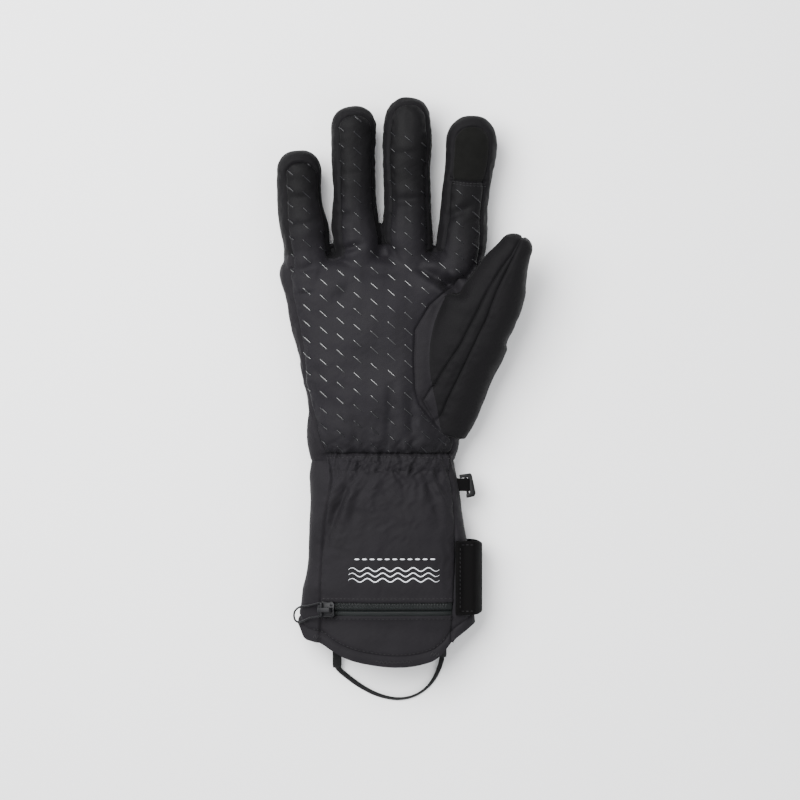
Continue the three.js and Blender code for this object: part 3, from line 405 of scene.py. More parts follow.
gloveSize = {
    "gauntlet": 112.5,      # wrist elastic to the hem's lowest point
    "hand": 116.5,          # wrist elastic to the finger roots
    "finger": 83.5,         # middle finger, root to tip
    "palmWidth": 112.0,
    "palmThick": 34.0,
    "cuffThick": 30.0,
    "fingerWidth": 27.5,
    "fingerThick": 24.0,
    "fingerCurl": 5.0,
    "thumbWidth": 44.0,
    "thumbThick": 31.0,
    "round": 2.5,           # fullness of the palm's section
    "flatSink": 2.5,        # how much of the stuffed back is pressed flat
    "voxel": 0.95,
}
wristY = gloveSize["gauntlet"] - (gloveSize["gauntlet"] + gloveSize["hand"] + gloveSize["finger"]) / 2
rootY = wristY + gloveSize["hand"]
palmWidth = gloveSize["palmWidth"]

# palm and gauntlet: share of the hand above the wrist or of the gauntlet below it, left, right,
# fullness of the palm side
trunkRows = [
    (-1.04, -0.527, 0.355, 0.93), (-0.823, -0.527, 0.355, 0.95), (-0.76, -0.522, 0.349, 0.97),
    (-0.676, -0.498, 0.34, 1.0), (-0.578, -0.476, 0.33, 1.02), (-0.48, -0.471, 0.321, 1.03),
    (-0.334, -0.46, 0.305, 1.03), (-0.187, -0.453, 0.281, 1.0), (-0.089, -0.461, 0.271, 0.97),
    (0.0, -0.468, 0.269, 0.93), (0.055, -0.469, 0.276, 0.94), (0.197, -0.474, 0.281, 0.98),
    (0.338, -0.484, 0.295, 1.0), (0.48, -0.517, 0.315, 1.0), (0.621, -0.555, 0.34, 0.98),
    (0.763, -0.581, 0.362, 0.94), (0.88, -0.606, 0.384, 0.88), (0.93, -0.6, 0.388, 0.82),
    (0.965, -0.575, 0.37, 0.68),
]
# fingers: centre line at root, middle and tip, length, widths at root, middle and tip,
# how far below the tip the front panel's top seam lies, and how far in its left and right seams
fingerRows = {
    "little": {"x": (-0.478, -0.505, -0.513), "length": 0.65, "width": (0.99, 0.93, 0.92), "top": 7.2,
               "insets": (4.6, 1.3)},
    "ring": {"x": (-0.222, -0.2425, -0.244), "length": 0.947, "width": (0.97, 0.905, 0.935), "top": 6.0,
             "insets": (4.0, 1.2)},
    "middle": {"x": (0.025, 0.0175, 0.0275), "length": 1.0, "width": (0.98, 0.975, 0.98), "top": 4.2,
               "insets": (3.0, 2.4)},
    "index": {"x": (0.281, 0.314, 0.341), "length": 0.884, "width": (1.01, 0.99, 1.05), "top": 7.0,
              "insets": (3.9, 3.4)},
}
# thumb: x as a share of the palm's width, y of the hand, z of the palm's thickness,
# then half its width and half its thickness
thumbRows = [
    (0.19, 0.14, 0.5, 0.3, 0.36), (0.226, 0.249, 0.54, 0.375, 0.43), (0.256, 0.437, 0.62, 0.475, 0.49),
    (0.334, 0.621, 0.73, 0.5, 0.49), (0.417, 0.72, 0.82, 0.405, 0.46), (0.481, 0.867, 0.91, 0.327, 0.41),
    (0.544, 0.992, 0.97, 0.205, 0.34),
]
# webs of cloth that close the gaps between the fingers: x, y, half sizes
webRows = [(-39.4, 62.0, 5.0, 7.5), (-11.5, 66.0, 5.0, 11.5), (17.6, 64.0, 5.0, 10.5)]

strapPlace = {"line": 0.566, "width": 40.5, "thick": 2.2, "gap": 0.3, "fade": 9.0}
strapY = wristY - strapPlace["line"] * gloveSize["gauntlet"]


def alongOf(y):
    return (y - wristY) / np.where(y < wristY, gloveSize["gauntlet"], gloveSize["hand"])


def seatHeight(y):
    # the cuff's back lies on the strap where that passes under it
    past = np.abs(y - strapY) - strapPlace["width"] / 2 - strapPlace["gap"]
    lift = strapPlace["thick"] + strapPlace["gap"]
    return lift * (1 - smooth01((past - strapPlace["fade"] / 2) / strapPlace["fade"]))


def trunkAt(y, inset=0.0):
    y = np.asarray(y, float)
    rows = np.asarray(trunkRows)
    share = alongOf(y)
    left = palmWidth * curveThrough(rows[:, [0, 1]], share) + inset
    right = palmWidth * curveThrough(rows[:, [0, 2]], share) - inset
    blend = smooth01((share + 0.3) / 0.6)
    thick = gloveSize["cuffThick"] + (gloveSize["palmThick"] - gloveSize["cuffThick"]) * blend
    top = curveThrough(rows[:, [0, 3]], share) * thick - inset
    low = seatHeight(y) + inset
    return (left + right) / 2, (right - left) / 2, top, low


def trunkRings(ys, inset, sides):
    mid, half, top, low = trunkAt(ys, inset)
    centre = (top + low) / 2
    angle = 2 * np.pi * np.arange(sides) / sides
    c, k = np.cos(angle), np.sin(angle)
    power = 2 / gloveSize["round"]
    x = mid[:, None] + half[:, None] * squared(c, power)[None]
    bulge = (np.abs(k) ** power)[None]
    up = centre[:, None] + (top - centre)[:, None] * bulge
    down = centre[:, None] - (centre - low + gloveSize["flatSink"])[:, None] * bulge
    z = np.where(k[None] >= 0, up, np.maximum(down, low[:, None]))
    y = np.broadcast_to(np.asarray(ys, float)[:, None], x.shape)
    return np.stack([x, y, z], axis=2)


def throughThree(start, middle, end, t):
    return start + t * (4 * middle - 3 * start - end + t * (2 * start + 2 * end - 4 * middle))


def fingerLine(row, y):
    tip = rootY + row["length"] * gloveSize["finger"]
    t = np.clip((np.asarray(y, float) - rootY) / (tip - rootY), -0.4, 1)
    x = palmWidth * throughThree(*row["x"], t)
    half = gloveSize["fingerWidth"] * throughThree(*row["width"], t) / 2
    up = np.clip(t, 0, 1)
    tall = gloveSize["fingerThick"] * (1 + 0.2 * (1 - up) ** 2) / 2
    z = 0.43 * gloveSize["palmThick"] + gloveSize["fingerCurl"] * up ** 1.5
    return x, half, tall, z


def fingerSolid(row, sides=56):
    tip = rootY + row["length"] * gloveSize["finger"]
    cap = 0.5 * gloveSize["fingerWidth"] * row["width"][2]
    start = rootY - 0.2 * gloveSize["hand"]
    ys = np.concatenate([np.linspace(start, tip - cap, 50),
                         tip - cap + cap * np.sin(np.linspace(0.06, 0.5 * np.pi - 0.03, 18))])
    into = np.clip((ys - tip + cap) / cap, 0, 1)
    shrink = (1 - into ** 2.3) ** (1 / 2.3)
    x, half, tall, z = fingerLine(row, ys)
    angle = 2 * np.pi * np.arange(sides) / sides
    c, k = squared(np.cos(angle), 0.9), squared(np.sin(angle), 0.9)
    px = x[:, None] + (half * shrink)[:, None] * c[None]
    pz = np.maximum(z[:, None] + (tall * shrink)[:, None] * k[None], 0.0)
    rings = np.stack([px, np.broadcast_to(ys[:, None], px.shape), pz], axis=2)
    return rings.reshape(-1, 3), loftFaces(len(ys), sides)


def thumbCentre(t):
    knots = np.linspace(0, 1, len(thumbRows))
    x, y, z, wide, thick = (curveThrough(np.stack([knots, column], 1), t) for column in zip(*thumbRows))
    centre = np.stack([palmWidth * x, wristY + gloveSize["hand"] * y, gloveSize["palmThick"] * z], 1)
    return centre, gloveSize["thumbWidth"] * wide, gloveSize["thumbThick"] * thick


def thumbSolid(sides=64):
    t = np.linspace(0, 1, 60)
    centre, wide, thick = thumbCentre(t)
    along = np.gradient(centre, axis=0)
    along /= np.linalg.norm(along, axis=1)[:, None]
    cap = wide[-1]
    into = np.sin(np.linspace(0.12, 0.5 * np.pi - 0.04, 16))
    centre = np.vstack([centre, centre[-1] + into[:, None] * cap * along[-1]])
    along = np.vstack([along, np.tile(along[-1], (16, 1))])
    shrink = (1 - into ** 2.2) ** (1 / 2.2)
    wide = np.concatenate([wide, wide[-1] * shrink])
    thick = np.concatenate([thick, thick[-1] * shrink])
    side = np.stack([along[:, 1], -along[:, 0], np.zeros(len(along))], 1)
    side /= np.linalg.norm(side, axis=1)[:, None]
    up = np.cross(side, along)
    angle = -2 * np.pi * np.arange(sides) / sides
    c, k = squared(np.cos(angle), 0.92), squared(np.sin(angle), 0.92)
    rings = (centre[:, None] + (wide[:, None] * c[None])[:, :, None] * side[:, None]
             + (thick[:, None] * k[None])[:, :, None] * up[:, None])
    return rings.reshape(-1, 3), loftFaces(len(centre), sides)


def trunkSolid(sides=120):
    end = wristY + 0.965 * gloveSize["hand"]
    ys = np.linspace(wristY - 1.04 * gloveSize["gauntlet"], end, 130)
    return trunkRings(ys, 0.0, sides).reshape(-1, 3), loftFaces(len(ys), sides)


def webSolid(row, sides=20):
    x, y, wide, tall = row
    rings = []
    for a in np.linspace(-0.5 * np.pi + 0.1, 0.5 * np.pi - 0.1, 12):
        b = 2 * np.pi * np.arange(sides) / sides
        rings.append(np.stack([x + wide * np.cos(a) * np.cos(b), np.full(sides, y + tall * np.sin(a)),
                               14.0 + 9.0 * np.cos(a) * np.sin(b)], 1))
    return np.vstack(rings), loftFaces(len(rings), sides)


def flipped(verts, faces):
    # faces turned to look outward, by the sign of the solid's volume
    v = np.asarray(verts)
    total = 0.0
    for f in faces:
        a = v[f[0]]
        for i in range(1, len(f) - 1):
            total += a @ np.cross(v[f[i]], v[f[i + 1]])
    return verts, faces if total > 0 else [tuple(reversed(f)) for f in faces]


def remeshed(solids, voxel, name):
    # one closed skin round several solids that overlap
    pile = Pile()
    for verts, faces in solids:
        pile.add(*flipped(verts, faces))
    mesh = bpy.data.meshes.new(name)
    mesh.from_pydata((np.vstack(pile.verts) * mm).tolist(), [], pile.faces)
    obj = bpy.data.objects.new(name, mesh)
    bpy.context.scene.collection.objects.link(obj)
    mod = obj.modifiers.new("skin", "REMESH")
    mod.mode = "VOXEL"
    mod.voxel_size = voxel * mm
    mod.adaptivity = 0.0
    done = obj.evaluated_get(bpy.context.evaluated_depsgraph_get()).to_mesh()
    done.calc_loop_triangles()
    verts = np.empty(len(done.vertices) * 3)
    done.vertices.foreach_get("co", verts)
    tris = np.empty(len(done.loop_triangles) * 3, np.int32)
    done.loop_triangles.foreach_get("vertices", tris)
    bpy.data.objects.remove(obj)
    bpy.data.meshes.remove(mesh)
    return verts.reshape(-1, 3) / mm, tris.reshape(-1, 3)


def neighbourPairs(tris):
    pairs = np.vstack([tris[:, [0, 1]], tris[:, [1, 2]], tris[:, [2, 0]]])
    return np.unique(np.sort(pairs, axis=1), axis=0)


def relaxed(verts, tris, rounds, pull=0.5, push=-0.53):
    # smooths out voxel steps without shrinking the form
    pairs = neighbourPairs(tris)
    count = np.bincount(pairs.ravel(), minlength=len(verts)).astype(float)[:, None]
    v = verts.copy()
    for r in range(rounds * 2):
        total = np.zeros_like(v)
        for k in range(3):
            total[:, k] = np.bincount(pairs[:, 0], v[pairs[:, 1], k], len(v))
            total[:, k] += np.bincount(pairs[:, 1], v[pairs[:, 0], k], len(v))
        v += (pull if r % 2 == 0 else push) * (total / np.maximum(count, 1) - v)
    return v


def vertexNormals(verts, tris):
    a, b, c = (verts[tris[:, k]] for k in range(3))
    face = np.cross(b - a, c - a)
    normal = np.zeros_like(verts)
    for k in range(3):
        for m in range(3):
            normal[:, m] += np.bincount(tris[:, k], face[:, m], len(verts))
    return normal / np.maximum(np.linalg.norm(normal, axis=1), 1e-12)[:, None]


snapShare = 0.3      # how near along an edge a vertex is taken for lying on the line


def cutAlong(verts, tris, extra, value, near):
    # splits the edges that cross the line where value is zero, if both ends are near;
    # a free vertex close to the line moves onto it instead
    verts, extra, value = verts.copy(), extra.copy(), value.copy()
    corner = value[tris]
    pairs = neighbourPairs(tris[(corner.max(axis=1) > 0) & (corner.min(axis=1) < 0)])
    pairs = pairs[(value[pairs[:, 0]] * value[pairs[:, 1]] < 0) & near[pairs].all(axis=1)]
    if not len(pairs):
        return verts, tris, extra
    both = np.vstack([pairs, pairs[:, ::-1]])
    t = value[both[:, 0]] / (value[both[:, 0]] - value[both[:, 1]])
    close = (t < snapShare) & (extra[both[:, 0], 1] < 0.5)
    both, t = both[close], t[close]
    order = np.argsort(-t, kind="stable")
    both, t = both[order], t[order]
    nearest = np.full(len(verts), -1)
    nearest[both[:, 0]] = np.arange(len(both))
    moved = np.nonzero(nearest >= 0)[0]
    pick = nearest[moved]
    other, share = both[pick, 1], t[pick][:, None]
    newPlaces = verts[moved] + share * (verts[other] - verts[moved])
    newExtra = extra[moved] + share * (extra[other] - extra[moved])
    verts[moved], extra[moved] = newPlaces, newExtra
    extra[moved, 1] = 1.0
    value[moved] = 0.0
    pairs = pairs[value[pairs[:, 0]] * value[pairs[:, 1]] < 0]
    part = (value[pairs[:, 0]] / (value[pairs[:, 0]] - value[pairs[:, 1]]))[:, None]
    places = verts[pairs[:, 0]] + part * (verts[pairs[:, 1]] - verts[pairs[:, 0]])
    extras = extra[pairs[:, 0]] + part * (extra[pairs[:, 1]] - extra[pairs[:, 0]])
    extras[:, 1] = 1.0
    middles = {tuple(pair): len(verts) + n for n, pair in enumerate(pairs.tolist())}
    corner = value[tris]
    mixed = (corner.max(axis=1) > 0) & (corner.min(axis=1) < 0)
    made = []
    for tri in tris[mixed].tolist():
        split = [middles.get((min(tri[k], tri[k - 2]), max(tri[k], tri[k - 2]))) for k in range(3)]
        count = sum(m is not None for m in split)
        if count == 0:
            made.append(tuple(tri))
        elif count == 1:
            k = next(k for k in range(3) if split[k] is not None)
            a, b, c, m = tri[k], tri[k - 2], tri[k - 1], split[k]
            made += [(a, m, c), (m, b, c)]
        else:
            k = next(k for k in range(3) if split[k] is None)
            b, c, a = tri[k], tri[k - 2], tri[k - 1]
            ca, ab = split[k - 2], split[k - 1]
            made += [(a, ab, ca), (ab, b, c), (ab, c, ca)]
    keep = np.vstack([tris[~mixed], np.asarray(made, np.int32).reshape(-1, 3)])
    return np.vstack([verts, places]), keep, np.vstack([extra, extras])


allSolids = [trunkSolid(), *[fingerSolid(row) for row in fingerRows.values()],
             *[webSolid(row) for row in webRows]]
thumbForm = thumbSolid()
skinVerts, skinTris = remeshed([*allSolids, thumbForm], gloveSize["voxel"], "skinForm")
skinVerts = relaxed(skinVerts, skinTris, 7)
print("glove skin:", len(skinVerts), "vertices")


def treeOf(solids):
    pile = Pile()
    for verts, faces in solids:
        pile.add(verts, faces)
    return BVHTree.FromPolygons([Vector(v) for v in np.vstack(pile.verts)], pile.faces)


def distances(tree, verts):
    return np.array([tree.find_nearest(Vector(v))[3] for v in verts])


# Seams

seams = {
    "zipLine": 0.717,          # middle of the zip, share of the gauntlet below the wrist
    "zipSlot": 7.6,
    "gatherTop": 0.033,        # share of the hand above the wrist
    "gatherHeight": 9.0,
    "hemBand": 6.0,
    "patchLength": 29.6,
    "patchLeft": 20.0,
    "patchFloor": 95.0,        # nothing below this belongs to the patch
    "endRadius": 9.5,          # corner radius of the finger panels' tops
}
gatherTop = wristY + seams["gatherTop"] * gloveSize["hand"]
gatherLow = gatherTop - seams["gatherHeight"]
zipY = wristY - seams["zipLine"] * gloveSize["gauntlet"]
zipTop, zipLow = zipY + seams["zipSlot"] / 2, zipY - seams["zipSlot"] / 2
knuckleY = wristY + 0.965 * gloveSize["hand"]

hemRows = [(-0.6, 0.7), (-0.527, 0.79), (-0.4925, 0.857), (-0.4475, 0.877), (-0.399, 0.889),
           (-0.2855, 0.955), (-0.163, 0.988), (0, 1.0), (0.133, 0.9745), (0.197, 0.93), (0.2315, 0.887),
           (0.3445, 0.793), (0.42, 0.72)]
sideSeams = [(-0.02, -0.375, 0.236), (0.08, -0.353, 0.238), (0.167, -0.363, 0.244),
             (0.32, -0.388, 0.254), (0.45, -0.405, 0.26), (0.665, -0.407, 0.246), (0.9, -0.416, 0.236)]
palmOutline = [(-42.0, -39.9), (26.2, -39.9), (28.5, -34.0), (26.0, -31.5), (17.0, -22.5), (8.8, -12.5),
               (6.5, -5.0), (5.8, 12.0), (6.5, 28.0), (14.5, 41.5), (27.5, 53.0), (37.5, 64.0),
               (36.0, 68.0), (17.3, 72.2), (3.0, 68.0), (-11.5, 76.4), (-26.0, 68.0), (-39.2, 68.0),
               (-50.0, 66.0), (-62.6, 62.0), (-62.6, 57.0), (-61.4, 48.4), (-58.8, 34.5), (-54.3, 7.0),
               (-52.0, -12.4), (-48.8, -23.5), (-43.3, -38.0)]
thumbSeams = {
    "inner": [(11.3, -10.7), (20.0, 4.0), (31.0, 20.0), (45.9, 50.6), (53.0, 61.4), (58.5, 68.6),
              (62.5, 76.0)],
    "outer": [(18.4, -22.3), (24.0, -10.0), (30.0, 1.7), (35.2, 12.9), (44.8, 33.3), (50.3, 48.4),
              (57.0, 62.0), (65.7, 80.0)],
}


def hemY(x):
    return wristY - gloveSize["gauntlet"] * curveThrough(hemRows, np.asarray(x, float) / palmWidth)


def sideSeam(y, column):
    rows = np.asarray(sideSeams)
    return palmWidth * curveThrough(rows[:, [0, column]], (wristY - y) / gloveSize["gauntlet"])


def fingerPanel(row, x, y):
    # signed distance to one finger's front panel, a strip with a rounded top
    centre, half, _, _ = fingerLine(row, y)
    left, right = centre - half + row["insets"][0], centre + half - row["insets"][1]
    tip = rootY + row["length"] * gloveSize["finger"] - row["top"]
    wide = (right - left) / 2
    r = np.minimum(seams["endRadius"], 0.86 * wide)
    u = np.abs(x - (left + right) / 2) - wide + r
    v = y - tip + r
    return np.minimum(np.maximum(u, v), 0) + np.hypot(np.maximum(u, 0), np.maximum(v, 0)) - r


def palmField(x, y):
    field = insideOutline(x, y, palmOutline)
    for row in fingerRows.values():
        strip = np.maximum(fingerPanel(row, x, y), 56.0 - y)
        field = np.minimum(field, strip)
    return field


# Cut and shape the cloth

handTree, thumbTree = treeOf(allSolids), treeOf([thumbForm])
# two columns go with each vertex: nearer the thumb or the hand, and whether it lies on a cut line
toThumb = distances(thumbTree, skinVerts) - distances(handTree, skinVerts)
extra = np.stack([toThumb, np.zeros(len(skinVerts))], 1)
patchTop = rootY + fingerRows["index"]["length"] * gloveSize["finger"] - fingerRows["index"]["top"]
patchLow = patchTop - seams["patchLength"]
patchBend = [(20.0, patchLow + 2.6), (27.0, patchLow + 0.6), (35.5, patchLow - 0.8),
             (49.0, patchLow - 0.6), (56.0, patchLow)]


def stripField(x, y):
    ring = [*thumbSeams["inner"], *reversed(thumbSeams["outer"])]
    return insideOutline(x, y, ring)


def patchField(x, y):
    return curveThrough(patchBend, x) - y + np.where(x > seams["patchLeft"] - 2.0, 0.0, 1e3)


def onIndex(x, y):
    return (y > seams["patchFloor"]) & (x > seams["patchLeft"])


def trunkMiddle(y):
    _, _, top, low = trunkAt(y)
    return (top + low) / 2


class Fields:
    # every seam's signed distance at a set of points of the plain skin
    def __init__(self, verts, thumb):
        x, y, z = verts.T
        self.x, self.y, self.z = x, y, z
        self.thumb = thumb
        self.middle = np.where(y > rootY, 15.0, trunkMiddle(np.minimum(y, rootY)))
        self.palm = np.maximum(palmField(x, y), self.middle - 1.5 - z)
        self.strip = np.maximum(stripField(x, y), 18.0 - z)
        self.sides = np.maximum(sideSeam(y, 1) - x, x - sideSeam(y, 2))
        self.front = np.maximum(np.maximum(self.sides, y - gatherTop), self.middle - z)
        self.hem = hemY(x) - y
        self.patch = patchField(x, y)


skin = (skinVerts, skinTris, extra)


def cutBy(skin, values, levels=(0.0,), near=None):
    # cuts the skin where values(fields) passes each level
    for level in levels:
        verts, tris, extra = skin
        fields = Fields(verts, extra[:, 0])
        value = values(fields) - level
        value = np.where(np.abs(value) < 1e-5, 1e-5, value)
        mask = np.ones(len(verts), bool) if near is None else near(fields)
        skin = cutAlong(verts, tris, extra, value, mask)
    return skin


def front(f):
    return (f.z > f.middle - 4) & (f.thumb > -2)


def frontStrip(f, past):
    # the gauntlet's front panel and a little past its side seams
    return front(f) & (f.sides < past)


# a row of vertices on each seam and two on both sides of it, so that the seam can roll in
beside = (0.0, 0.5, -0.5, 1.2, -1.2)
skin = cutBy(skin, lambda f: f.hem, (0.0, -0.8))
keep = Fields(skin[0], skin[2][:, 0]).hem[skin[1]].mean(axis=1) < 0
skin = (skin[0], skin[1][keep], skin[2])
skin = cutBy(skin, lambda f: f.thumb)
skin = cutBy(skin, lambda f: f.palm, beside, front)
skin = cutBy(skin, lambda f: f.strip, beside, lambda f: (f.thumb < 9) & (f.z > 14) & (f.palm > 0.3))
skin = cutBy(skin, lambda f: f.hem + seams["hemBand"], beside)
skin = cutBy(skin, lambda f: f.sides, beside, lambda f: front(f) & (f.y < gatherTop + 3))
skin = cutBy(skin, lambda f: f.y - gatherTop, beside, lambda f: frontStrip(f, 3))
skin = cutBy(skin, lambda f: f.y - gatherLow, beside, lambda f: frontStrip(f, 3))
skin = cutBy(skin, lambda f: f.y - zipTop, (0.0, 0.5, 1.2), lambda f: frontStrip(f, 1))
skin = cutBy(skin, lambda f: f.y - zipLow, (0.0, -0.5, -1.2), lambda f: frontStrip(f, 1))
skin = cutBy(skin, lambda f: f.patch, beside, lambda f: front(f) & (f.palm < 2) & onIndex(f.x, f.y))
skin = cutBy(skin, lambda f: f.y - wristY, beside, lambda f: f.thumb > 0)
skin = cutBy(skin, lambda f: f.y - knuckleY, (0.0,), lambda f: (f.thumb > 0) & (f.z < f.middle + 6))
print("seams cut:", len(skin[0]), "vertices")

folds = [
    # x0, y0, x1, y1, width, depth (mm); a negative depth is a ridge
    (-36.0, 71.6, -23.7, 74.0, 2.0, 1.6), (-35.0, 44.8, -29.0, 51.0, 4.0, 1.2),
    (-37.0, 90.8, -28.0, 90.0, 2.4, 0.9), (-6.7, 98.0, 12.0, 100.0, 2.6, 1.0),
    (24.6, 90.0, 37.0, 95.5, 2.4, 1.0), (12.3, 60.0, 27.0, 50.0, 2.8, 2.3),
    (-6.2, -3.0, -8.4, -37.0, 2.6, 0.9), (4.0, -7.6, 5.0, -37.0, 2.4, 0.9),
    (-31.9, -53.8, -43.0, -90.0, 2.8, 1.5), (-22.0, -52.5, -28.0, -76.0, 2.4, 0.8),
    (12.3, -52.5, 20.0, -78.0, 2.8, 1.1), (-27.2, -50.9, -38.8, -76.2, 2.2, 1.6),
    (-6.3, -47.6, 0.3, -55.8, 1.8, 1.2), (10.7, -48.7, 19.0, -64.1, 2.0, 1.4),
    (17.0, -48.9, 23.4, -63.2, 1.8, 1.3), (20.0, 58.0, 31.0, 48.0, 3.2, 3.2),
    (24.0, 52.0, 34.0, 57.0, 2.4, 1.2), (-52.0, 8.0, -44.0, 2.0, 3.0, 0.8),
    (-50.0, -20.0, -40.0, -30.0, 2.6, 0.9), (-20.0, 58.0, -6.0, 60.5, 3.0, 0.7),
    (6.0, 64.0, 16.0, 58.0, 2.6, 1.0), (-58.0, 60.0, -48.0, 63.0, 2.4, 0.9),
    (-62.0, 84.0, -48.0, 86.5, 2.4, 0.8), (-61.0, 100.0, -50.0, 100.5, 2.0, 0.5),
    (-35.0, 112.0, -21.0, 113.5, 2.2, 0.5), (-7.0, 124.0, 10.0, 124.5, 2.2, 0.5),
]
clothShape = {
    "puff": 0.8, "puffSize": 34.0, "small": 0.16, "smallSize": 12.0, "fine": 0.035, "fineSize": 4.0,
    "valley": 0.7, "valleyWidth": 4.2, "groove": 0.95, "grooveWidth": 0.7,
    "pucker": 0.2, "puckerPitch": 6.0, "puckerAway": 1.8, "puckerWidth": 2.2,
    "bandTop": 0.6, "bandLow": 0.25, "bandWide": 2.6, "hemGroove": 0.6, "hemValley": 0.35, "hemWide": 2.4,
    "wristGroove": 0.5, "wristValley": 1.3, "wristWide": 6.0, "zipLip": 0.45, "tight": 0.8,
    # a fold wanders off its line, and a soft swelling lies beside its hollow
    "wander": 0.5, "wanderSize": 9.0, "wanderShare": 0.6, "swell": 0.45, "swellAway": 1.9, "swellWide": 1.3,
}
ruffles = {
    # each set's pitch, depth and how far it runs out below the band
    "sets": ((2.7, 0.26, 1.6), (3.9, 0.42, 4.0), (5.7, 0.60, 9.0), (8.9, 0.62, 17.0), (14.5, 0.60, 30.0)),
    "above": 0.5, "hollow": 0.7,         # shares of the run and the depth, over the band and in the hollows
    "stretch": 1.6, "least": 0.55, "uneven": 0.6, "unevenSize": 9.0,
    "lean": 0.30, "leanSize": 7.0,
    "fan": 0.035, "fanStep": 10.0, "fanMiddle": -7.0, "fanReach": 30.0,
    "sway": 1.2, "swaySize": 10.0, "drift": 0.16, "driftSize": 6.0,
    "crush": 0.5, "crushSize": 2.6, "crushStretch": 0.8,
}


def gatherRipple(x, y, look):
    # tight uneven ruffles in the elastic band that run out above and below it
    rng = np.random.default_rng(11)
    total = np.zeros(len(x))
    below = np.clip(gatherLow - y, 0, None)
    above = np.clip(y - gatherTop, 0, None)
    down = gatherTop - y
    plan = np.stack([x, look["stretch"] * y], axis=1)
    uneven = look["least"] + look["uneven"] * np.abs(waveNoise(plan, look["unevenSize"], 31))
    fan = look["fan"] * (x - look["fanMiddle"]) * np.clip(down, 0, look["fanReach"]) / look["fanStep"]
    for pitch, deep, reach in look["sets"]:
        phase = rng.uniform(0, 2 * np.pi)
        lean = look["lean"] * pitch * waveNoise(plan, look["leanSize"] + pitch, rng.integers(1000))
        sway = look["sway"] * np.sin(x / look["swaySize"] + rng.uniform(0, 6)) - fan + lean
        sway += look["drift"] * down * np.sin(x / look["driftSize"] + phase)
        fade = np.exp(-below / reach) * np.exp(-above / (look["above"] * reach))
        wave = np.sin(2 * np.pi * (x + sway) / pitch + phase)
        total += deep * fade * uneven * np.where(wave > 0, wave, look["hollow"] * wave)
    inner = np.sin(np.pi * np.clip(down / (gatherTop - gatherLow), 0, 1))
    crushed = waveNoise(np.stack([x, look["crushStretch"] * y], 1), look["crushSize"], 77, 12)
    return total + look["crush"] * inner * np.abs(crushed)


def seamValley(distance, look):
    valley = look["valley"] * bump(distance, look["valleyWidth"])
    return valley + look["groove"] * bump(distance, look["grooveWidth"])


def displacement(verts, fields, look):
    x, y, z = verts.T
    rise = look["puff"] * waveNoise(verts, look["puffSize"], 3)
    rise += look["small"] * waveNoise(verts, look["smallSize"], 4, 12)
    rise += look["fine"] * waveNoise(verts, look["fineSize"], 5, 16)
    tight = look["tight"]
    facing = smooth01((z - fields.middle + 5) / 6)
    onThumb = smooth01((1.0 - fields.thumb) / 2)
    onStrip = smooth01((9 - fields.thumb) / 5) * smooth01((z - 14) / 4) * (fields.palm > 0.3)
    lines = [(fields.palm, facing * (1 - onThumb)), (fields.strip, onStrip),
             (fields.sides, facing * smooth01((gatherTop - y + 2) / 4) * (1 - onThumb)),
             (np.where(fields.palm < 1.5, fields.patch, 1e3), facing * (y > 90) * (x > seams["patchLeft"])),
             (np.abs(fields.thumb) * 0.8, 0.7 * (1 - facing))]
    for distance, weight in lines:
        rise -= weight * seamValley(distance, look)
        along = waveNoise(verts, look["puckerPitch"], 21, 9)
        beside = bump(np.abs(distance) - look["puckerAway"], look["puckerWidth"])
        rise += weight * look["pucker"] * along * beside
    onFront = facing * smooth01((2.5 - fields.sides) / 2) * (1 - onThumb)
    rise += onFront * smooth01((1.5 - fields.sides) / 5) * gatherRipple(x, y, ruffles)
    for edge, deep in ((gatherTop, look["bandTop"]), (gatherLow, look["bandLow"])):
        rise -= onFront * (deep * bump(y - edge, tight) + 0.7 * deep * bump(y - edge, look["bandWide"]))
    toBand = fields.hem + seams["hemBand"]
    rise -= look["hemGroove"] * bump(toBand, tight) + look["hemValley"] * bump(toBand, look["hemWide"])
    drawnIn = look["wristGroove"] * bump(y - wristY, tight)
    drawnIn += look["wristValley"] * bump(y - wristY, look["wristWide"])
    rise -= (1 - onFront) * drawnIn * (1 - onThumb)
    for edge in (zipTop, zipLow):
        rise += onFront * look["zipLip"] * bump(np.abs(y - edge) - 1.0, 1.0) * (fields.sides < 0)
    for x0, y0, x1, y1, wide, deep in folds:
        away, share = toLine(x, y, [(x0, y0), (x1, y1)])
        ends = np.sin(np.pi * np.clip(0.08 + 0.84 * share, 0, 1)) ** 0.6
        seed = int(abs(x0 * 7 + y0)) + 1
        wander = look["wander"] * waveNoise(np.stack([x, y], 1), look["wanderSize"], seed)
        beside = bump(away - look["swellAway"] * wide, look["swellWide"] * wide)
        hollow = bump(away + wander * look["wanderShare"], wide) - look["swell"] * beside
        rise -= facing * deep * ends * hollow
    return rise


stuffing = {
    "voxel": 4.2, "frames": 16, "pressure": 9.0, "mass": 0.12, "stiff": 18.0, "bend": 1.2, "quality": 5,
    "most": 1.5,      # no point moves farther than this
    "pin": 3.2, "bandPin": 3.0, "zipPin": 8.0, "hemPin": 12.0, "tablePin": 1.5,
}


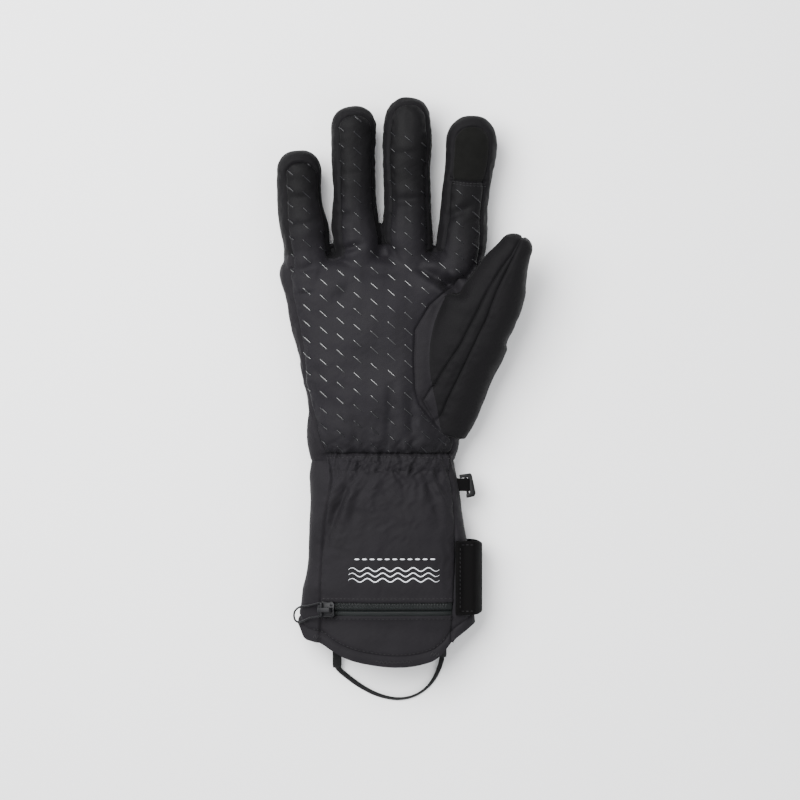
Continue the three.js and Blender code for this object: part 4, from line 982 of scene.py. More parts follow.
def stuffedShift(look):
    # a cloth simulation of the whole skin: held along its seams and blown out softly by its stuffing
    coarse, faces = remeshed([*allSolids, thumbForm], look["voxel"], "stuffForm")
    coarse = relaxed(coarse, faces, 3)
    f = Fields(coarse, distances(thumbTree, coarse) - distances(handTree, coarse))
    upper = f.z > f.middle
    held = (np.abs(f.palm) < look["pin"]) & upper
    held |= (np.abs(f.sides) < look["pin"]) & upper & (f.y < gatherTop)
    held |= (np.abs(f.strip) < look["pin"]) & upper & (f.thumb < 4)
    held |= (f.y < gatherTop + look["bandPin"]) & (f.y > gatherLow - look["bandPin"])
    held |= (np.abs(f.y - zipY) < look["zipPin"]) & upper
    held |= (f.hem > -look["hemPin"]) | (f.z < look["tablePin"]) | (np.abs(f.thumb) < look["bandPin"])
    mesh = bpy.data.meshes.new("stuffing")
    mesh.from_pydata((coarse * mm).tolist(), [], faces.tolist())
    obj = bpy.data.objects.new("stuffing", mesh)
    bpy.context.scene.collection.objects.link(obj)
    group = obj.vertex_groups.new(name="held")
    group.add(np.nonzero(held)[0].tolist(), 1.0, "REPLACE")
    cloth = obj.modifiers.new("cloth", "CLOTH")
    settings = cloth.settings
    settings.quality = look["quality"]
    settings.mass = look["mass"]
    settings.tension_stiffness = settings.compression_stiffness = look["stiff"]
    settings.shear_stiffness = look["stiff"] / 2
    settings.bending_stiffness = look["bend"]
    settings.vertex_group_mass = "held"
    settings.use_pressure = True
    settings.uniform_pressure_force = look["pressure"]
    settings.effector_weights.gravity = 0.0
    cloth.collision_settings.use_collision = False
    cloth.point_cache.frame_start = 1
    cloth.point_cache.frame_end = look["frames"]
    for number in range(1, look["frames"] + 1):
        bpy.context.scene.frame_set(number)
    done = obj.evaluated_get(bpy.context.evaluated_depsgraph_get()).data
    moved = np.empty(len(done.vertices) * 3)
    done.vertices.foreach_get("co", moved)
    shift = moved.reshape(-1, 3) / mm - coarse
    size = np.linalg.norm(shift, axis=1)
    print("stuffing moved the cloth by up to", round(float(size.max()), 2), "mm")
    shift *= (look["most"] * np.tanh(size / look["most"]) / np.maximum(size, 1e-6))[:, None]
    bpy.context.scene.frame_set(1)
    bpy.data.objects.remove(obj)
    bpy.data.meshes.remove(mesh)
    return coarse, faces, shift


def carriedOver(coarse, faces, shift, points):
    # the shift of the coarse skin at points of the fine one
    tree = BVHTree.FromPolygons([Vector(v) for v in coarse], faces.tolist())
    near = [tree.find_nearest(Vector(v)) for v in points]
    where = np.array([n[0] for n in near])
    corner = faces[[n[2] for n in near]]
    a, b, c = (coarse[corner[:, k]] for k in range(3))
    ab, ac, ap = b - a, c - a, where - a
    d00, d01, d11 = (ab * ab).sum(1), (ab * ac).sum(1), (ac * ac).sum(1)
    d20, d21 = (ap * ab).sum(1), (ap * ac).sum(1)
    scale = np.maximum(d00 * d11 - d01 * d01, 1e-12)
    v, w = (d11 * d20 - d01 * d21) / scale, (d00 * d21 - d01 * d20) / scale
    return ((1 - v - w)[:, None] * shift[corner[:, 0]] + v[:, None] * shift[corner[:, 1]]
            + w[:, None] * shift[corner[:, 2]])


verts, tris, extra = skin
fields = Fields(verts, extra[:, 0])
normals = vertexNormals(verts, tris)
shaped = verts + normals * displacement(verts, fields, clothShape)[:, None]
shaped += carriedOver(*stuffedShift(stuffing), verts)
print("cloth simulated")
# nothing is pressed below the table it lies on
shaped = relaxed(shaped, tris, 1, 0.35, -0.36)
shaped[:, 2] = np.maximum(shaped[:, 2], 0.02)
print("cloth shaped")


# Share the cloth out among the pieces


def sortPieces(verts, tris, thumb):
    centre = verts[tris].mean(axis=1)
    f = Fields(centre, thumb[tris].mean(axis=1))
    x, y = f.x, f.y
    onThumb = f.thumb < 0
    strip = onThumb & (f.strip < 0)
    band = ~onThumb & (f.hem > -seams["hemBand"])
    onFront = ~onThumb & ~band & (f.front < 0)
    palm = ~onThumb & ~band & ~onFront & (f.palm < 0)
    patch = palm & (f.patch < 0) & onIndex(x, y)
    back = ~(onThumb | band | onFront | palm)
    rows = list(fingerRows.values())
    bounds = [-1e3, *[palmWidth * (a["x"][0] + b["x"][0] + a["x"][1] + b["x"][1]) / 4
                      for a, b in zip(rows, rows[1:])], 1e3]
    groups = {
        "thumbShell": onThumb & ~strip, "thumbStrip": strip, "hemBand": band,
        "pocketPanel": onFront & (y < gatherLow) & (y > zipTop),
        "wristGathers": onFront & (y >= gatherLow),
        "hemPanel": onFront & (y < zipLow),
        "palmPanel": palm & ~patch, "touchPatch": patch,
        "cuffBack": back & (y < wristY), "handBack": back & (y >= wristY) & (y < knuckleY),
    }
    for n, name in enumerate(fingerRows):
        groups[name + "FingerBack"] = back & (y >= knuckleY) & (x > bounds[n]) & (x <= bounds[n + 1])
    return groups


clothThick = 1.2


def shellPiece(name, verts, normals, tris, thick, material):
    # one piece of cloth with a real thickness and closed edges
    used, local = np.unique(tris, return_inverse=True)
    local = local.reshape(-1, 3)
    outer = verts[used]
    inner = outer - normals[used] * thick
    inner[:, 2] = np.maximum(inner[:, 2], 0.01)
    n = len(used)
    edges = np.vstack([local[:, [0, 1]], local[:, [1, 2]], local[:, [2, 0]]])
    keys = np.sort(edges, axis=1)
    pairs, counts = np.unique(keys, axis=0, return_counts=True)
    rimKeys = set(map(tuple, pairs[counts == 1].tolist()))
    rim = [tuple(e) for e in edges.tolist() if tuple(sorted(e)) in rimKeys]
    faces = local.tolist() + (local[:, ::-1] + n).tolist() + [(a, a + n, b + n, b) for a, b in rim]
    obj = meshPiece(name, np.vstack([outer, inner]), faces, material)
    sharp = obj.data.attributes.new("sharp_edge", "BOOLEAN", "EDGE")
    sharp.data.foreach_set("value", [tuple(sorted(e.vertices)) in rimKeys
                                     or tuple(sorted(v - n for v in e.vertices)) in rimKeys
                                     for e in obj.data.edges])
    return obj


pieceLooks = {
    # node it stands for, material, slot, how full it is
    "palmPanel": ("palm_panel", "palmCloth", "palm_cloth", 0.6),
    "touchPatch": ("touch_patch", "patchCloth", "patch_cloth", 0.6),
    "thumbShell": ("thumb_shell", "thumbCloth", "shell_cloth", 0.6),
    "thumbStrip": ("thumb_strip", "thumbCloth", "shell_cloth", 0.5),
    "wristGathers": ("wrist_gathers", "shellCloth", "shell_cloth", 0.4),
    "pocketPanel": ("pocket_panel", "shellCloth", "shell_cloth", 0.5),
    "hemPanel": ("hem_panel", "shellCloth", "shell_cloth", 0.5),
    "hemBand": ("hem_band", "shellCloth", "shell_cloth", 0.4),
    "cuffBack": ("cuff_back", "shellCloth", "shell_cloth", 0.5),
    "handBack": ("hand_back", "shellCloth", "shell_cloth", 0.6),
    "littleFingerBack": ("little_finger_back", "shadedFingerCloth", "shell_cloth", 0.6),
    "ringFingerBack": ("ring_finger_back", "shadedFingerCloth", "shell_cloth", 0.6),
    "middleFingerBack": ("middle_finger_back", "shadedFingerCloth", "shell_cloth", 0.6),
    "indexFingerBack": ("index_finger_back", "shadedFingerCloth", "shell_cloth", 0.6),
}
shapedNormals = vertexNormals(shaped, tris)
groups = sortPieces(verts, tris, extra[:, 0])
shellPieces = {}
for name, (node, material, slot, fill) in pieceLooks.items():
    obj = shellPiece(name, shaped, shapedNormals, tris[groups[name]], clothThick, looks[material])
    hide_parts(node)
    shellPieces[name] = obj
print("cloth pieces:", {name: len(obj.data.polygons) for name, obj in shellPieces.items()})
surfaceTree = BVHTree.FromPolygons([Vector(v) for v in shaped], tris.tolist())


def onSurface(x, y, lift=0.0):
    # the glove's upper face under a point of the plan, and its direction
    hit, normal, _, _ = surfaceTree.ray_cast(Vector((x, y, 80.0)), Vector((0, 0, -1)))
    if hit is None:
        return None
    if normal.z < 0:
        normal = -normal
    return np.array(hit) + lift * np.array(normal), np.array(normal)


# Grip dashes, print and stitches


steepest = 2.4       # a stroke isn't laid over a step as high as this


def strokeOn(pile, points, half, flat, lift, sides=8):
    # a raised stroke that follows the surface under a line of the plan
    placed = [onSurface(px, py, lift) for px, py in points]
    if any(p is None for p in placed):
        return False
    path = np.array([p for p, _ in placed])
    up = np.array([n for _, n in placed])
    if np.abs(np.diff(path[:, 2])).max() > steepest:
        return False
    pile.add(*tubeAlong(path, half, sides, flat=flat, up=up, taper=True))
    return True


gripLook = {"start": (-25.0, 29.2), "across": 9.24, "down": 8.75, "shift": -3.7, "turn": -42.0,
            "length": 6.1, "columns": (-6, 12), "rows": (-12, 14), "half": 0.42, "flat": 0.8,
            "lift": 0.1, "clear": 0.5, "patchClear": 3.0}
gripPile = Pile()
gripCount = 0
gripTurn = math.radians(gripLook["turn"])
gripWay = np.array([math.cos(gripTurn), math.sin(gripTurn)])
for column in range(*gripLook["columns"]):
    for row in range(*gripLook["rows"]):
        middle = np.array([gripLook["start"][0] + column * gripLook["across"],
                           gripLook["start"][1] + column * gripLook["shift"] + row * gripLook["down"]])
        ends = np.linspace(-0.5, 0.5, 13)[:, None] * gripLook["length"] * gripWay + middle
        ex, ey = ends[:, 0], ends[:, 1]
        kept = palmField(ex, ey) < -gripLook["clear"]
        kept &= ~((patchField(ex, ey) < gripLook["patchClear"]) & onIndex(ex, ey))
        if kept.sum() >= 6:
            strokeOn(gripPile, ends[kept], gripLook["half"], gripLook["flat"], gripLook["lift"])
            gripCount += 1
gripPile.piece("gripDashes", looks["gripRubber"])
print("grip dashes:", gripCount)

printLook = {"dashes": 11, "dashLength": 2.7, "dashY": -97.0, "dashHalf": 0.42, "left": -26.7,
             "right": 17.3, "waveLeft": -30.0, "waveRight": 19.6, "waves": (-102.6, -105.5, -108.4),
             "swing": 1.0, "pitch": 8.3, "waveHalf": 0.29, "lift": 0.03}
printPile = Pile()
dash = printLook["dashLength"]
for start in np.linspace(printLook["left"], printLook["right"] - dash, printLook["dashes"]):
    line = [(x, printLook["dashY"]) for x in np.linspace(start, start + dash, 5)]
    strokeOn(printPile, line, printLook["dashHalf"], 0.16, printLook["lift"])
for y in printLook["waves"]:
    xs = np.linspace(printLook["waveLeft"], printLook["waveRight"], 110)
    ys = y + printLook["swing"] * np.sin(2 * np.pi * (xs - printLook["waveLeft"]) / printLook["pitch"])
    strokeOn(printPile, list(zip(xs, ys)), printLook["waveHalf"], 0.2, printLook["lift"])
printPile.piece("heatMotif", looks["printInk"])
print("print motif done")


def stitchRow(pile, line, pitch=2.3, length=1.65, half=0.2, lift=0.05, sway=0.0):
    # separate stitches set end to end along a line of the plan
    path = densePath(line, 0.2)
    run = runOf(path)
    at = 0.3
    turn = 1
    while at + length < run[-1]:
        share = np.linspace(at, at + length, 5)
        points = np.stack([np.interp(share, run, path[:, 0]), np.interp(share, run, path[:, 1])], 1)
        if sway:
            way = points[-1] - points[0]
            side = np.array([-way[1], way[0]]) / np.linalg.norm(way)
            points = points + side * np.linspace(-sway, sway, 5)[:, None] * turn
            turn = -turn
        strokeOn(pile, points, half, 0.85, lift, sides=6)
        at += pitch


stitchPile = Pile()
hemLine = [(x, float(hemY(x)) + seams["hemBand"] + 1.0) for x in np.linspace(-50.0, 27.0, 24)]
stitchRow(stitchPile, hemLine)
stitchRow(stitchPile, [(-41.0, -41.9), (-20.6, -41.2), (0.3, -41.2), (10.7, -41.6), (25.4, -42.2)])
stitchRow(stitchPile, [(-44.5, zipTop + 2.0), (-10.0, zipTop + 2.0), (26.5, zipTop + 2.0)])
stitchRow(stitchPile, [(-44.5, zipLow - 1.5), (-10.0, zipLow - 1.5), (26.5, zipLow - 1.5)])
patchStitch = [(x, float(curveThrough(patchBend, x))) for x in np.linspace(26.5, 46.5, 9)]
for drop in (1.2, 2.5):
    stitchRow(stitchPile, [(x, y - drop) for x, y in patchStitch], pitch=1.9, length=1.35, half=0.17)
stitchRow(stitchPile, [(8.6, -14.4), (15.6, -23.9), (22.9, -30.0), (28.8, -35.5)], half=0.17)
bartack = [(-15.7, -152.9), (-5.0, -153.6), (5.2, -152.9)]
stitchRow(stitchPile, bartack, pitch=1.15, length=0.95, half=0.17, sway=0.65)
for x in (-47.2, 17.0):
    y = float(hemY(x)) + 3.2
    bartack = [(x - 2.4, y + 0.4), (x, y), (x + 2.4, y - 0.4)]
    stitchRow(stitchPile, bartack, pitch=0.9, length=0.8, half=0.17, sway=1.1)
stitchPile.piece("stitching", looks["threadCloth"])
print("stitching done")

# Zip

zipLook = {
    "left": -45.2, "right": 26.6, "sink": 1.25, "thick": 0.9, "swell": 0.34, "edgeAway": 2.4, "evenOut": 9,
    "slit": -125.3, "slitWidth": 0.34, "slitDepth": 0.9,
    "coilPitch": 1.55, "coilHalf": 0.42, "coilTop": -120.95, "coilMiddle": -122.85, "coilLow": -124.75,
    "coilLean": 0.95,
}


def edgeHeights(y):
    # the cloth's height along one side of the zip, evened out
    heights = [onSurface(x, y)[0][2] for x in zipXs]
    count = zipLook["evenOut"]
    return np.convolve(np.pad(heights, count // 2, mode="edge"), np.ones(count) / count, mode="valid")


def trunkTop(x, y):
    mid, half, top, low = trunkAt(y)
    c = np.clip(np.abs((np.asarray(x, float) - mid) / half), 0, 1) ** (gloveSize["round"] / 2)
    centre = (top + low) / 2
    return centre + (top - centre) * (1 - c ** 2) ** (1 / gloveSize["round"])


zipXs = np.linspace(zipLook["left"], zipLook["right"], 150)
upperEdge = edgeHeights(zipTop + zipLook["edgeAway"])
lowerEdge = edgeHeights(zipLow - zipLook["edgeAway"])


def tapeHeight(x, y):
    # the tape lies just below the cloth on both sides, swelling a little in each band
    away = zipLook["edgeAway"]
    share = (y - zipLow + away) / (zipTop - zipLow + 2 * away)
    base = np.interp(x, zipXs, lowerEdge) * (1 - share) + np.interp(x, zipXs, upperEdge) * share
    slit = zipLook["slit"]
    upper = np.clip((y - slit) / (zipTop - slit), 0, 1)
    lower = np.clip((slit - y) / (slit - zipLow), 0, 1)
    swell = zipLook["swell"] * (np.sin(np.pi * upper) ** 0.6 + 0.3 * np.sin(np.pi * lower) ** 0.6)
    return base - zipLook["sink"] + swell - zipLook["slitDepth"] * bump(y - slit, zipLook["slitWidth"])


tapeYs = np.unique(np.concatenate([np.linspace(zipLow - 0.1, zipTop + 0.1, 26),
                                   zipLook["slit"] + np.linspace(-0.8, 0.8, 13)]))
tapeRows = []
for x in zipXs:
    tops = [(x, y, float(tapeHeight(x, y))) for y in tapeYs]
    lows = [(x, y, float(tapeHeight(x, y)) - zipLook["thick"]) for y in tapeYs[::-1]]
    tapeRows.append(tops + lows)
zipTape = meshPiece("zipTape", np.array(tapeRows).reshape(-1, 3), loftFaces(len(zipXs), 2 * len(tapeYs)),
                    looks["tapeCloth"])
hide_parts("zip_tape")

coilPile = Pile()
coilTop, coilMiddle = zipLook["coilTop"], zipLook["coilMiddle"]
coilLow, coilLean = zipLook["coilLow"], zipLook["coilLean"]
for x in np.arange(zipLook["left"] + 0.8, zipLook["right"] - 1.4, zipLook["coilPitch"]):
    # each coil leans to the left down to the middle, and back below it
    for y0, y1, lean, start in ((coilTop, coilMiddle, -coilLean, 0.0),
                                (coilMiddle, coilLow, coilLean, -coilLean)):
        ys = np.linspace(y0, y1, 6)
        xs = x + start + lean * (ys - y0) / (y1 - y0)
        xs = np.clip(xs, zipLook["left"] + 0.1, zipLook["right"] - 0.1)
        path = np.stack([xs, ys, tapeHeight(xs, ys) + 0.06], 1)
        coilPile.add(*tubeAlong(path, zipLook["coilHalf"], 6, flat=0.7, taper=True))
zipChain = coilPile.piece("zipChain", looks["coilPlastic"])
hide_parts("zip_chain")
print("zip tape and coils done")

# Slider and pull

sliderLook = {
    "length": 9.6, "width": 8.6, "plate": 1.6, "bridge": 3.4, "bar": 1.1, "bridgeWidth": 2.4,
    "hinge": (-44.805, -124.413, 30.611), "hingeX": -0.22, "slope": 16.8, "fall": 34.9,
    "pullLength": 18.6, "pullWidth": 6.4, "pullEnd": 8.4, "pullSkew": 3.9, "wire": 1.1,
    "bevel": 0.28, "rivet": 0.75, "rail": 0.26,
    "plan": [(-0.5, 0.22), (-0.42, 0.34), (-0.22, 0.5), (0.1, 0.46), (0.36, 0.5), (0.5, 0.36)],
}
sliderTurn = math.radians(sliderLook["slope"])
sliderAlong = np.array([math.cos(sliderTurn), 0.0, math.sin(sliderTurn)])
sliderUp = np.array([-math.sin(sliderTurn), 0.0, math.cos(sliderTurn)])
hingePoint = np.array(sliderLook["hinge"])
hingeHeight = sliderLook["plate"] + 0.6 * (sliderLook["bridge"] - sliderLook["bar"])
hingeAway = sliderLook["hingeX"] * sliderLook["length"]
sliderMiddle = hingePoint - hingeAway * sliderAlong - hingeHeight * sliderUp


def onSlider(points):
    p = np.asarray(points, float)
    return sliderMiddle + p @ np.array([sliderAlong, (0.0, 1.0, 0.0), sliderUp])


def bevelled(obj, width, segments=3):
    mod = obj.modifiers.new("softEdge", "BEVEL")
    mod.width = width * mm
    mod.segments = segments
    mod.limit_method = "ANGLE"
    mod.angle_limit = math.radians(28)
    return obj


def prismFaces(count):
    faces = [(i, (i + 1) % count, count + (i + 1) % count, count + i) for i in range(count)]
    return faces + [tuple(reversed(range(count))), tuple(range(count, 2 * count))]


def flatPrism(outline, low, high):
    pts = np.asarray(outline, float)
    lower = np.column_stack([pts, np.full(len(pts), low)])
    upper = np.column_stack([pts, np.full(len(pts), high)])
    return np.vstack([lower, upper]), prismFaces(len(pts))


def sideFrame(outer, inner, width):
    # a closed frame drawn in X and Z with a hole in it, centred on Y
    n = len(outer)
    verts = [(x, y, z) for y in (-width / 2, width / 2) for ring in (outer, inner) for x, z in ring]
    faces = []
    for i in range(n):
        j = (i + 1) % n
        faces += [(i, j, n + j, n + i), (2 * n + j, 2 * n + i, 3 * n + i, 3 * n + j),
                  (j, i, 2 * n + i, 2 * n + j), (n + i, n + j, 3 * n + j, 3 * n + i)]
    return np.array(verts, float), faces


def makeSlider(look):
    long, wide, plate = look["length"], look["width"], look["plate"]
    plan = [(x, -y) for x, y in look["plan"]] + [(0.46, 0.0)] + look["plan"][::-1]
    pile = Pile()
    verts, faces = flatPrism([(x * long, y * wide) for x, y in plan], 0.0, plate)
    pile.add(onSlider(verts), faces)
    base = plate - 0.05
    top = look["bridge"]
    bar = look["bar"]
    hinge = look["hingeX"] * long
    outer = [(-0.44 * long, base), (0.40 * long, base), (0.38 * long, base + 0.6 * top),
             (0.30 * long, base + top), (-0.36 * long, base + top), (-0.43 * long, base + 0.6 * top)]
    inner = [(hinge - 0.12 * long, base + 0.02), (hinge + 0.30 * long, base + 0.02),
             (hinge + 0.30 * long, base + 0.5 * (top - bar)), (hinge + 0.24 * long, base + top - bar),
             (hinge - 0.08 * long, base + top - bar), (hinge - 0.12 * long, base + 0.5 * (top - bar))]
    verts, faces = sideFrame(outer, inner, look["bridgeWidth"])
    pile.add(onSlider(verts), faces)
    slider = bevelled(pile.piece("zipSlider", looks["blackEnamel"]), look["bevel"])
    rivets = Pile()
    angle = 2 * np.pi * np.arange(20) / 20
    r = look["rivet"]
    rings = [(r, plate - 0.05), (r, plate + 0.18), (0.75 * r, plate + 0.34), (0.3 * r, plate + 0.38)]
    for y in (0.30 * wide, -0.30 * wide):
        pts = [(0.33 * long + r * math.cos(a), y + r * math.sin(a), z) for r, z in rings for a in angle]
        rivets.add(onSlider(pts), loftFaces(len(rings), len(angle)))
    # the rails on both sides draw together toward the nose
    shares = np.linspace(-0.36, 0.36, 12)
    for y in (-0.44 * wide, 0.44 * wide):
        path = [(x * long, y * (1 - max(0.0, -x - 0.2)), plate + 0.05) for x in shares]
        up = np.tile(sliderUp, (len(shares), 1))
        rivets.add(*tubeAlong(onSlider(path), look["rail"], 8, up=up, taper=True))
    rivets.piece("sliderRails", looks["blackEnamel"])
    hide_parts("zip_slider")


def closedCurve(points, count, firm=0.42):
    # smooth closed line through the points
    pts = np.asarray(points, float)
    n = len(pts)
    made = []
    for i in range(n):
        p0, p1, p2, p3 = pts[i - 1], pts[i], pts[(i + 1) % n], pts[(i + 2) % n]
        for t in np.arange(12) / 12:
            m1, m2 = firm * (p2 - p0), firm * (p3 - p1)
            made.append((2 * t ** 3 - 3 * t ** 2 + 1) * p1 + (t ** 3 - 2 * t ** 2 + t) * m1
                        + (-2 * t ** 3 + 3 * t ** 2) * p2 + (t ** 3 - t ** 2) * m2)
    made = np.array(made + [made[0]])
    run = runOf(made)
    at = np.linspace(0, run[-1], count, endpoint=False)
    return np.stack([np.interp(at, run, made[:, k]) for k in range(2)], 1)


def makePull(look):
    long, wide, end, skew = look["pullLength"], look["pullWidth"], look["pullEnd"], look["pullSkew"]
    plan = [(0, 0.5 * wide), (0, 0), (0, -0.5 * wide), (-0.07 * long, -0.56 * wide),
            (-0.4 * long, -0.5 * wide - 0.4 * skew), (-0.78 * long, -0.5 * end - 0.85 * skew),
            (-0.95 * long, -0.32 * end - skew), (-long, -skew), (-0.95 * long, 0.32 * end - skew),
            (-0.78 * long, 0.5 * end - 0.85 * skew), (-0.4 * long, 0.5 * wide - 0.3 * skew),
            (-0.07 * long, 0.56 * wide)]
    flat = closedCurve(plan, 150)
    fall = math.radians(look["fall"])
    path = hingePoint + np.stack([flat[:, 0] * math.cos(fall), flat[:, 1], flat[:, 0] * math.sin(fall)], 1)
    up = np.tile([-math.sin(fall), 0.0, math.cos(fall)], (len(path), 1))
    verts, faces = tubeAlong(path, look["wire"] / 2, 12, closedPath=True, up=up)
    pull = meshPiece("zipPull", verts, faces, looks["blackEnamel"], body="pull")
    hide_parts("zip_pull")


makeSlider(sliderLook)
makePull(sliderLook)
print("slider and pull done")

# Cuff strap, clip and webbing


def slabAlong(path, yMiddle, widths, thick, edge=6):
    # a band swept along a path of X and Z, with rounded long edges
    path = np.asarray(path, float)
    d = np.gradient(path, axis=0)
    d /= np.linalg.norm(d, axis=1)[:, None]
    out = np.stack([-d[:, 1], d[:, 0]], 1)
    half = thick / 2
    angle = np.linspace(-0.5 * np.pi, 0.5 * np.pi, 2 * edge)
    turn = [(half * math.sin(a), half * math.cos(a)) for a in angle]
    inner = np.linspace(-1, 1, 14)[1:-1]
    # side, height over the middle, and how far out the rounded edge reaches there
    ring = [(-1, h, c) for h, c in turn] + [(s, half, 0.0) for s in inner]
    ring += [(1, h, c) for h, c in turn[::-1]] + [(s, -half, 0.0) for s in inner[::-1]]
    verts = []
    for k in range(len(path)):
        w = widths[k] / 2
        for s, h, c in ring:
            x, z = path[k] + out[k] * h
            verts.append((x, yMiddle + s * (w - half) + s * c, z))
    return np.array(verts), loftFaces(len(path), len(ring))


strapLook = {"reach": 6.5, "tail": 50.0, "width": 40.5, "thick": 2.2, "pinch": 2.6, "pinchLength": 2.2,
             "slack": 0.25, "slackSize": 14.0, "stitch": 1.6, "stitchPitch": 2.4, "stitchHalf": 0.19}


def makeStrap(look):
    mid, half, top, _ = (float(v) for v in trunkAt(strapY))
    start = float(sideSeam(strapY, 2)) + 0.6
    edge = mid + half
    out = edge + look["reach"]
    thick = look["thick"]
    rows = (strapY - look["width"] / 2, strapY, strapY + look["width"] / 2)
    centre = (top + thick) / 2
    lowZ = thick / 2
    # over the cuff, round its edge and back under it
    over = [(x, max(float(trunkTop(x, y)) for y in rows) + strapPlace["gap"] + lowZ)
            for x in (start, (start + edge) / 2)]
    knots = [*over, (edge + 0.25 * look["reach"], centre + 0.62 * (top - centre)), (out - lowZ, centre),
             (edge + 0.3 * look["reach"], lowZ + 0.2 * centre), (edge - 0.6 * look["reach"], lowZ),
             (edge - 1.4 * look["reach"], lowZ), (edge - look["tail"], lowZ)]
    path = densePath(knots, 0.8)
    path[:, 1] = np.maximum(path[:, 1], lowZ)
    widths = look["width"] - look["pinch"] * bump(path[:, 0] - out, look["pinchLength"])
    verts, faces = slabAlong(path, strapY, widths, thick)
    wave = look["slack"] * waveNoise(verts, look["slackSize"], 41)
    verts[:, 2] = np.maximum(verts[:, 2] + wave * (verts[:, 2] > 4), 0.02)
    strap = meshPiece("cuffStrap", verts, faces, looks["strapCloth"])
    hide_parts("cuff_strap")
    return strap, start, out


cuffStrap, strapStart, strapOut = makeStrap(strapLook)
strapTree = BVHTree.FromObject(cuffStrap, bpy.context.evaluated_depsgraph_get())


def strapStitch(pile, line, look):
    # stitches laid on the strap's upper face
    path = densePath(line, 0.25)
    run = runOf(path)
    at = 0.4
    while at + look["stitch"] < run[-1]:
        share = np.linspace(at, at + look["stitch"], 5)
        points, ups = [], []
        for x, y in zip(np.interp(share, run, path[:, 0]), np.interp(share, run, path[:, 1])):
            hit, normal, _, _ = strapTree.ray_cast(Vector((x * mm, y * mm, 0.08)), Vector((0, 0, -1)))
            if hit is not None:
                points.append(np.array(hit) / mm + 0.04 * np.array(normal))
                ups.append(np.array(normal))
        if len(points) == 5:
            pile.add(*tubeAlong(points, look["stitchHalf"], 6, flat=0.8, up=ups, taper=True))
        at += look["stitchPitch"]


strapStitches = Pile()
strapHalf = strapLook["width"] / 2
for side in (-1, 1):
    outer, inner = strapY + side * (strapHalf - 2.2), strapY + side * (strapHalf - 2.6)
    line = [(strapStart + 2.4, outer), (strapOut - 6.0, outer), (strapOut - 3.0, inner)]
    strapStitch(strapStitches, line, strapLook)
endLine = [(strapStart + 2.0, strapY + away) for away in (3.5 - strapHalf, 0.0, strapHalf - 3.5)]
strapStitch(strapStitches, endLine, strapLook)
strapStitches.piece("strapStitching", looks["threadCloth"])

clipLook = {"line": 0.116, "length": 13.0, "reach": 7.2, "bar": 2.4, "tilt": 8.0, "innerBar": 2.6,
            "gap": 0.25, "webWidth": 7.0, "webThick": 0.9, "bevel": 0.5}


def makeClip(look):
    y = wristY - look["line"] * gloveSize["gauntlet"]
    mid, half, top, low = (float(v) for v in trunkAt(y))
    edge, z = mid + half, (top + low) / 2
    left, right, bar, long = edge + 0.9, edge + look["reach"] + 0.6, look["bar"], look["length"]
    low, tip = -0.5 * long, left + 0.32 * look["reach"]
    hook = [(left, -low), (left, -low - 0.8 * bar), (right - bar, -low - 0.85 * bar),
            (right - 0.9 * bar, low + bar), (tip, low + 0.8 * bar), (tip, low - 0.1 * bar),
            (right - 0.1 * bar, low + 0.05 * bar),
            (right + 0.3 * bar, low + 0.7 * bar), (right, -low - 0.3 * bar), (right - 0.3 * bar, -low)]
    inner = left + look["innerBar"]
    outer = inner + 0.6 * bar
    post = [(inner, low + 0.4 * bar), (outer, low + 0.4 * bar), (outer, -low - 0.5 * bar),
            (inner, -low - 0.5 * bar)]
    turn = math.radians(look["tilt"])
    pile = Pile()
    for outline, thick in ((hook, bar), (post, 0.7 * bar)):
        around = [(px - right, py) for px, py in outline]
        turned = [(right + px * math.cos(turn) - py * math.sin(turn),
                   y + px * math.sin(turn) + py * math.cos(turn))
                  for px, py in around]
        pile.add(*flipped(*flatPrism(turned, z - thick / 2, z + thick / 2)))
    clip = bevelled(pile.piece("clipHook", looks["clipPlastic"]), look["bevel"], 4)
    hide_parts("clip_hook")
    # the webbing runs out of the cuff, round the inner bar and back
    high = 0.35 * bar + look["gap"] + look["webThick"] / 2
    webRight = outer + look["gap"] + look["webThick"] / 2
    over = [(edge - 1.2, high), (edge + 1.4, high), (webRight - 0.7, high), (webRight, 0.5 * high)]
    path = densePath([(x, z + h) for x, h in over] + [(x, z - h) for x, h in over[::-1]], 0.3)
    verts, faces = slabAlong(path, y, np.full(len(path), look["webWidth"]), look["webThick"], edge=4)
    web = meshPiece("clipWebbing", verts, faces, looks["strapCloth"])
    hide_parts("clip_webbing_palm_side")


makeClip(clipLook)
print("strap and clip done")

# Lining and leash tabs

liningLook = {"inset": 2.5, "deep": 70.0, "step": 3.4, "stepDeep": 14.0, "closing": 3.6, "thick": 0.5,
              "sides": 110, "pile": 0.25, "pileSize": 7.0}


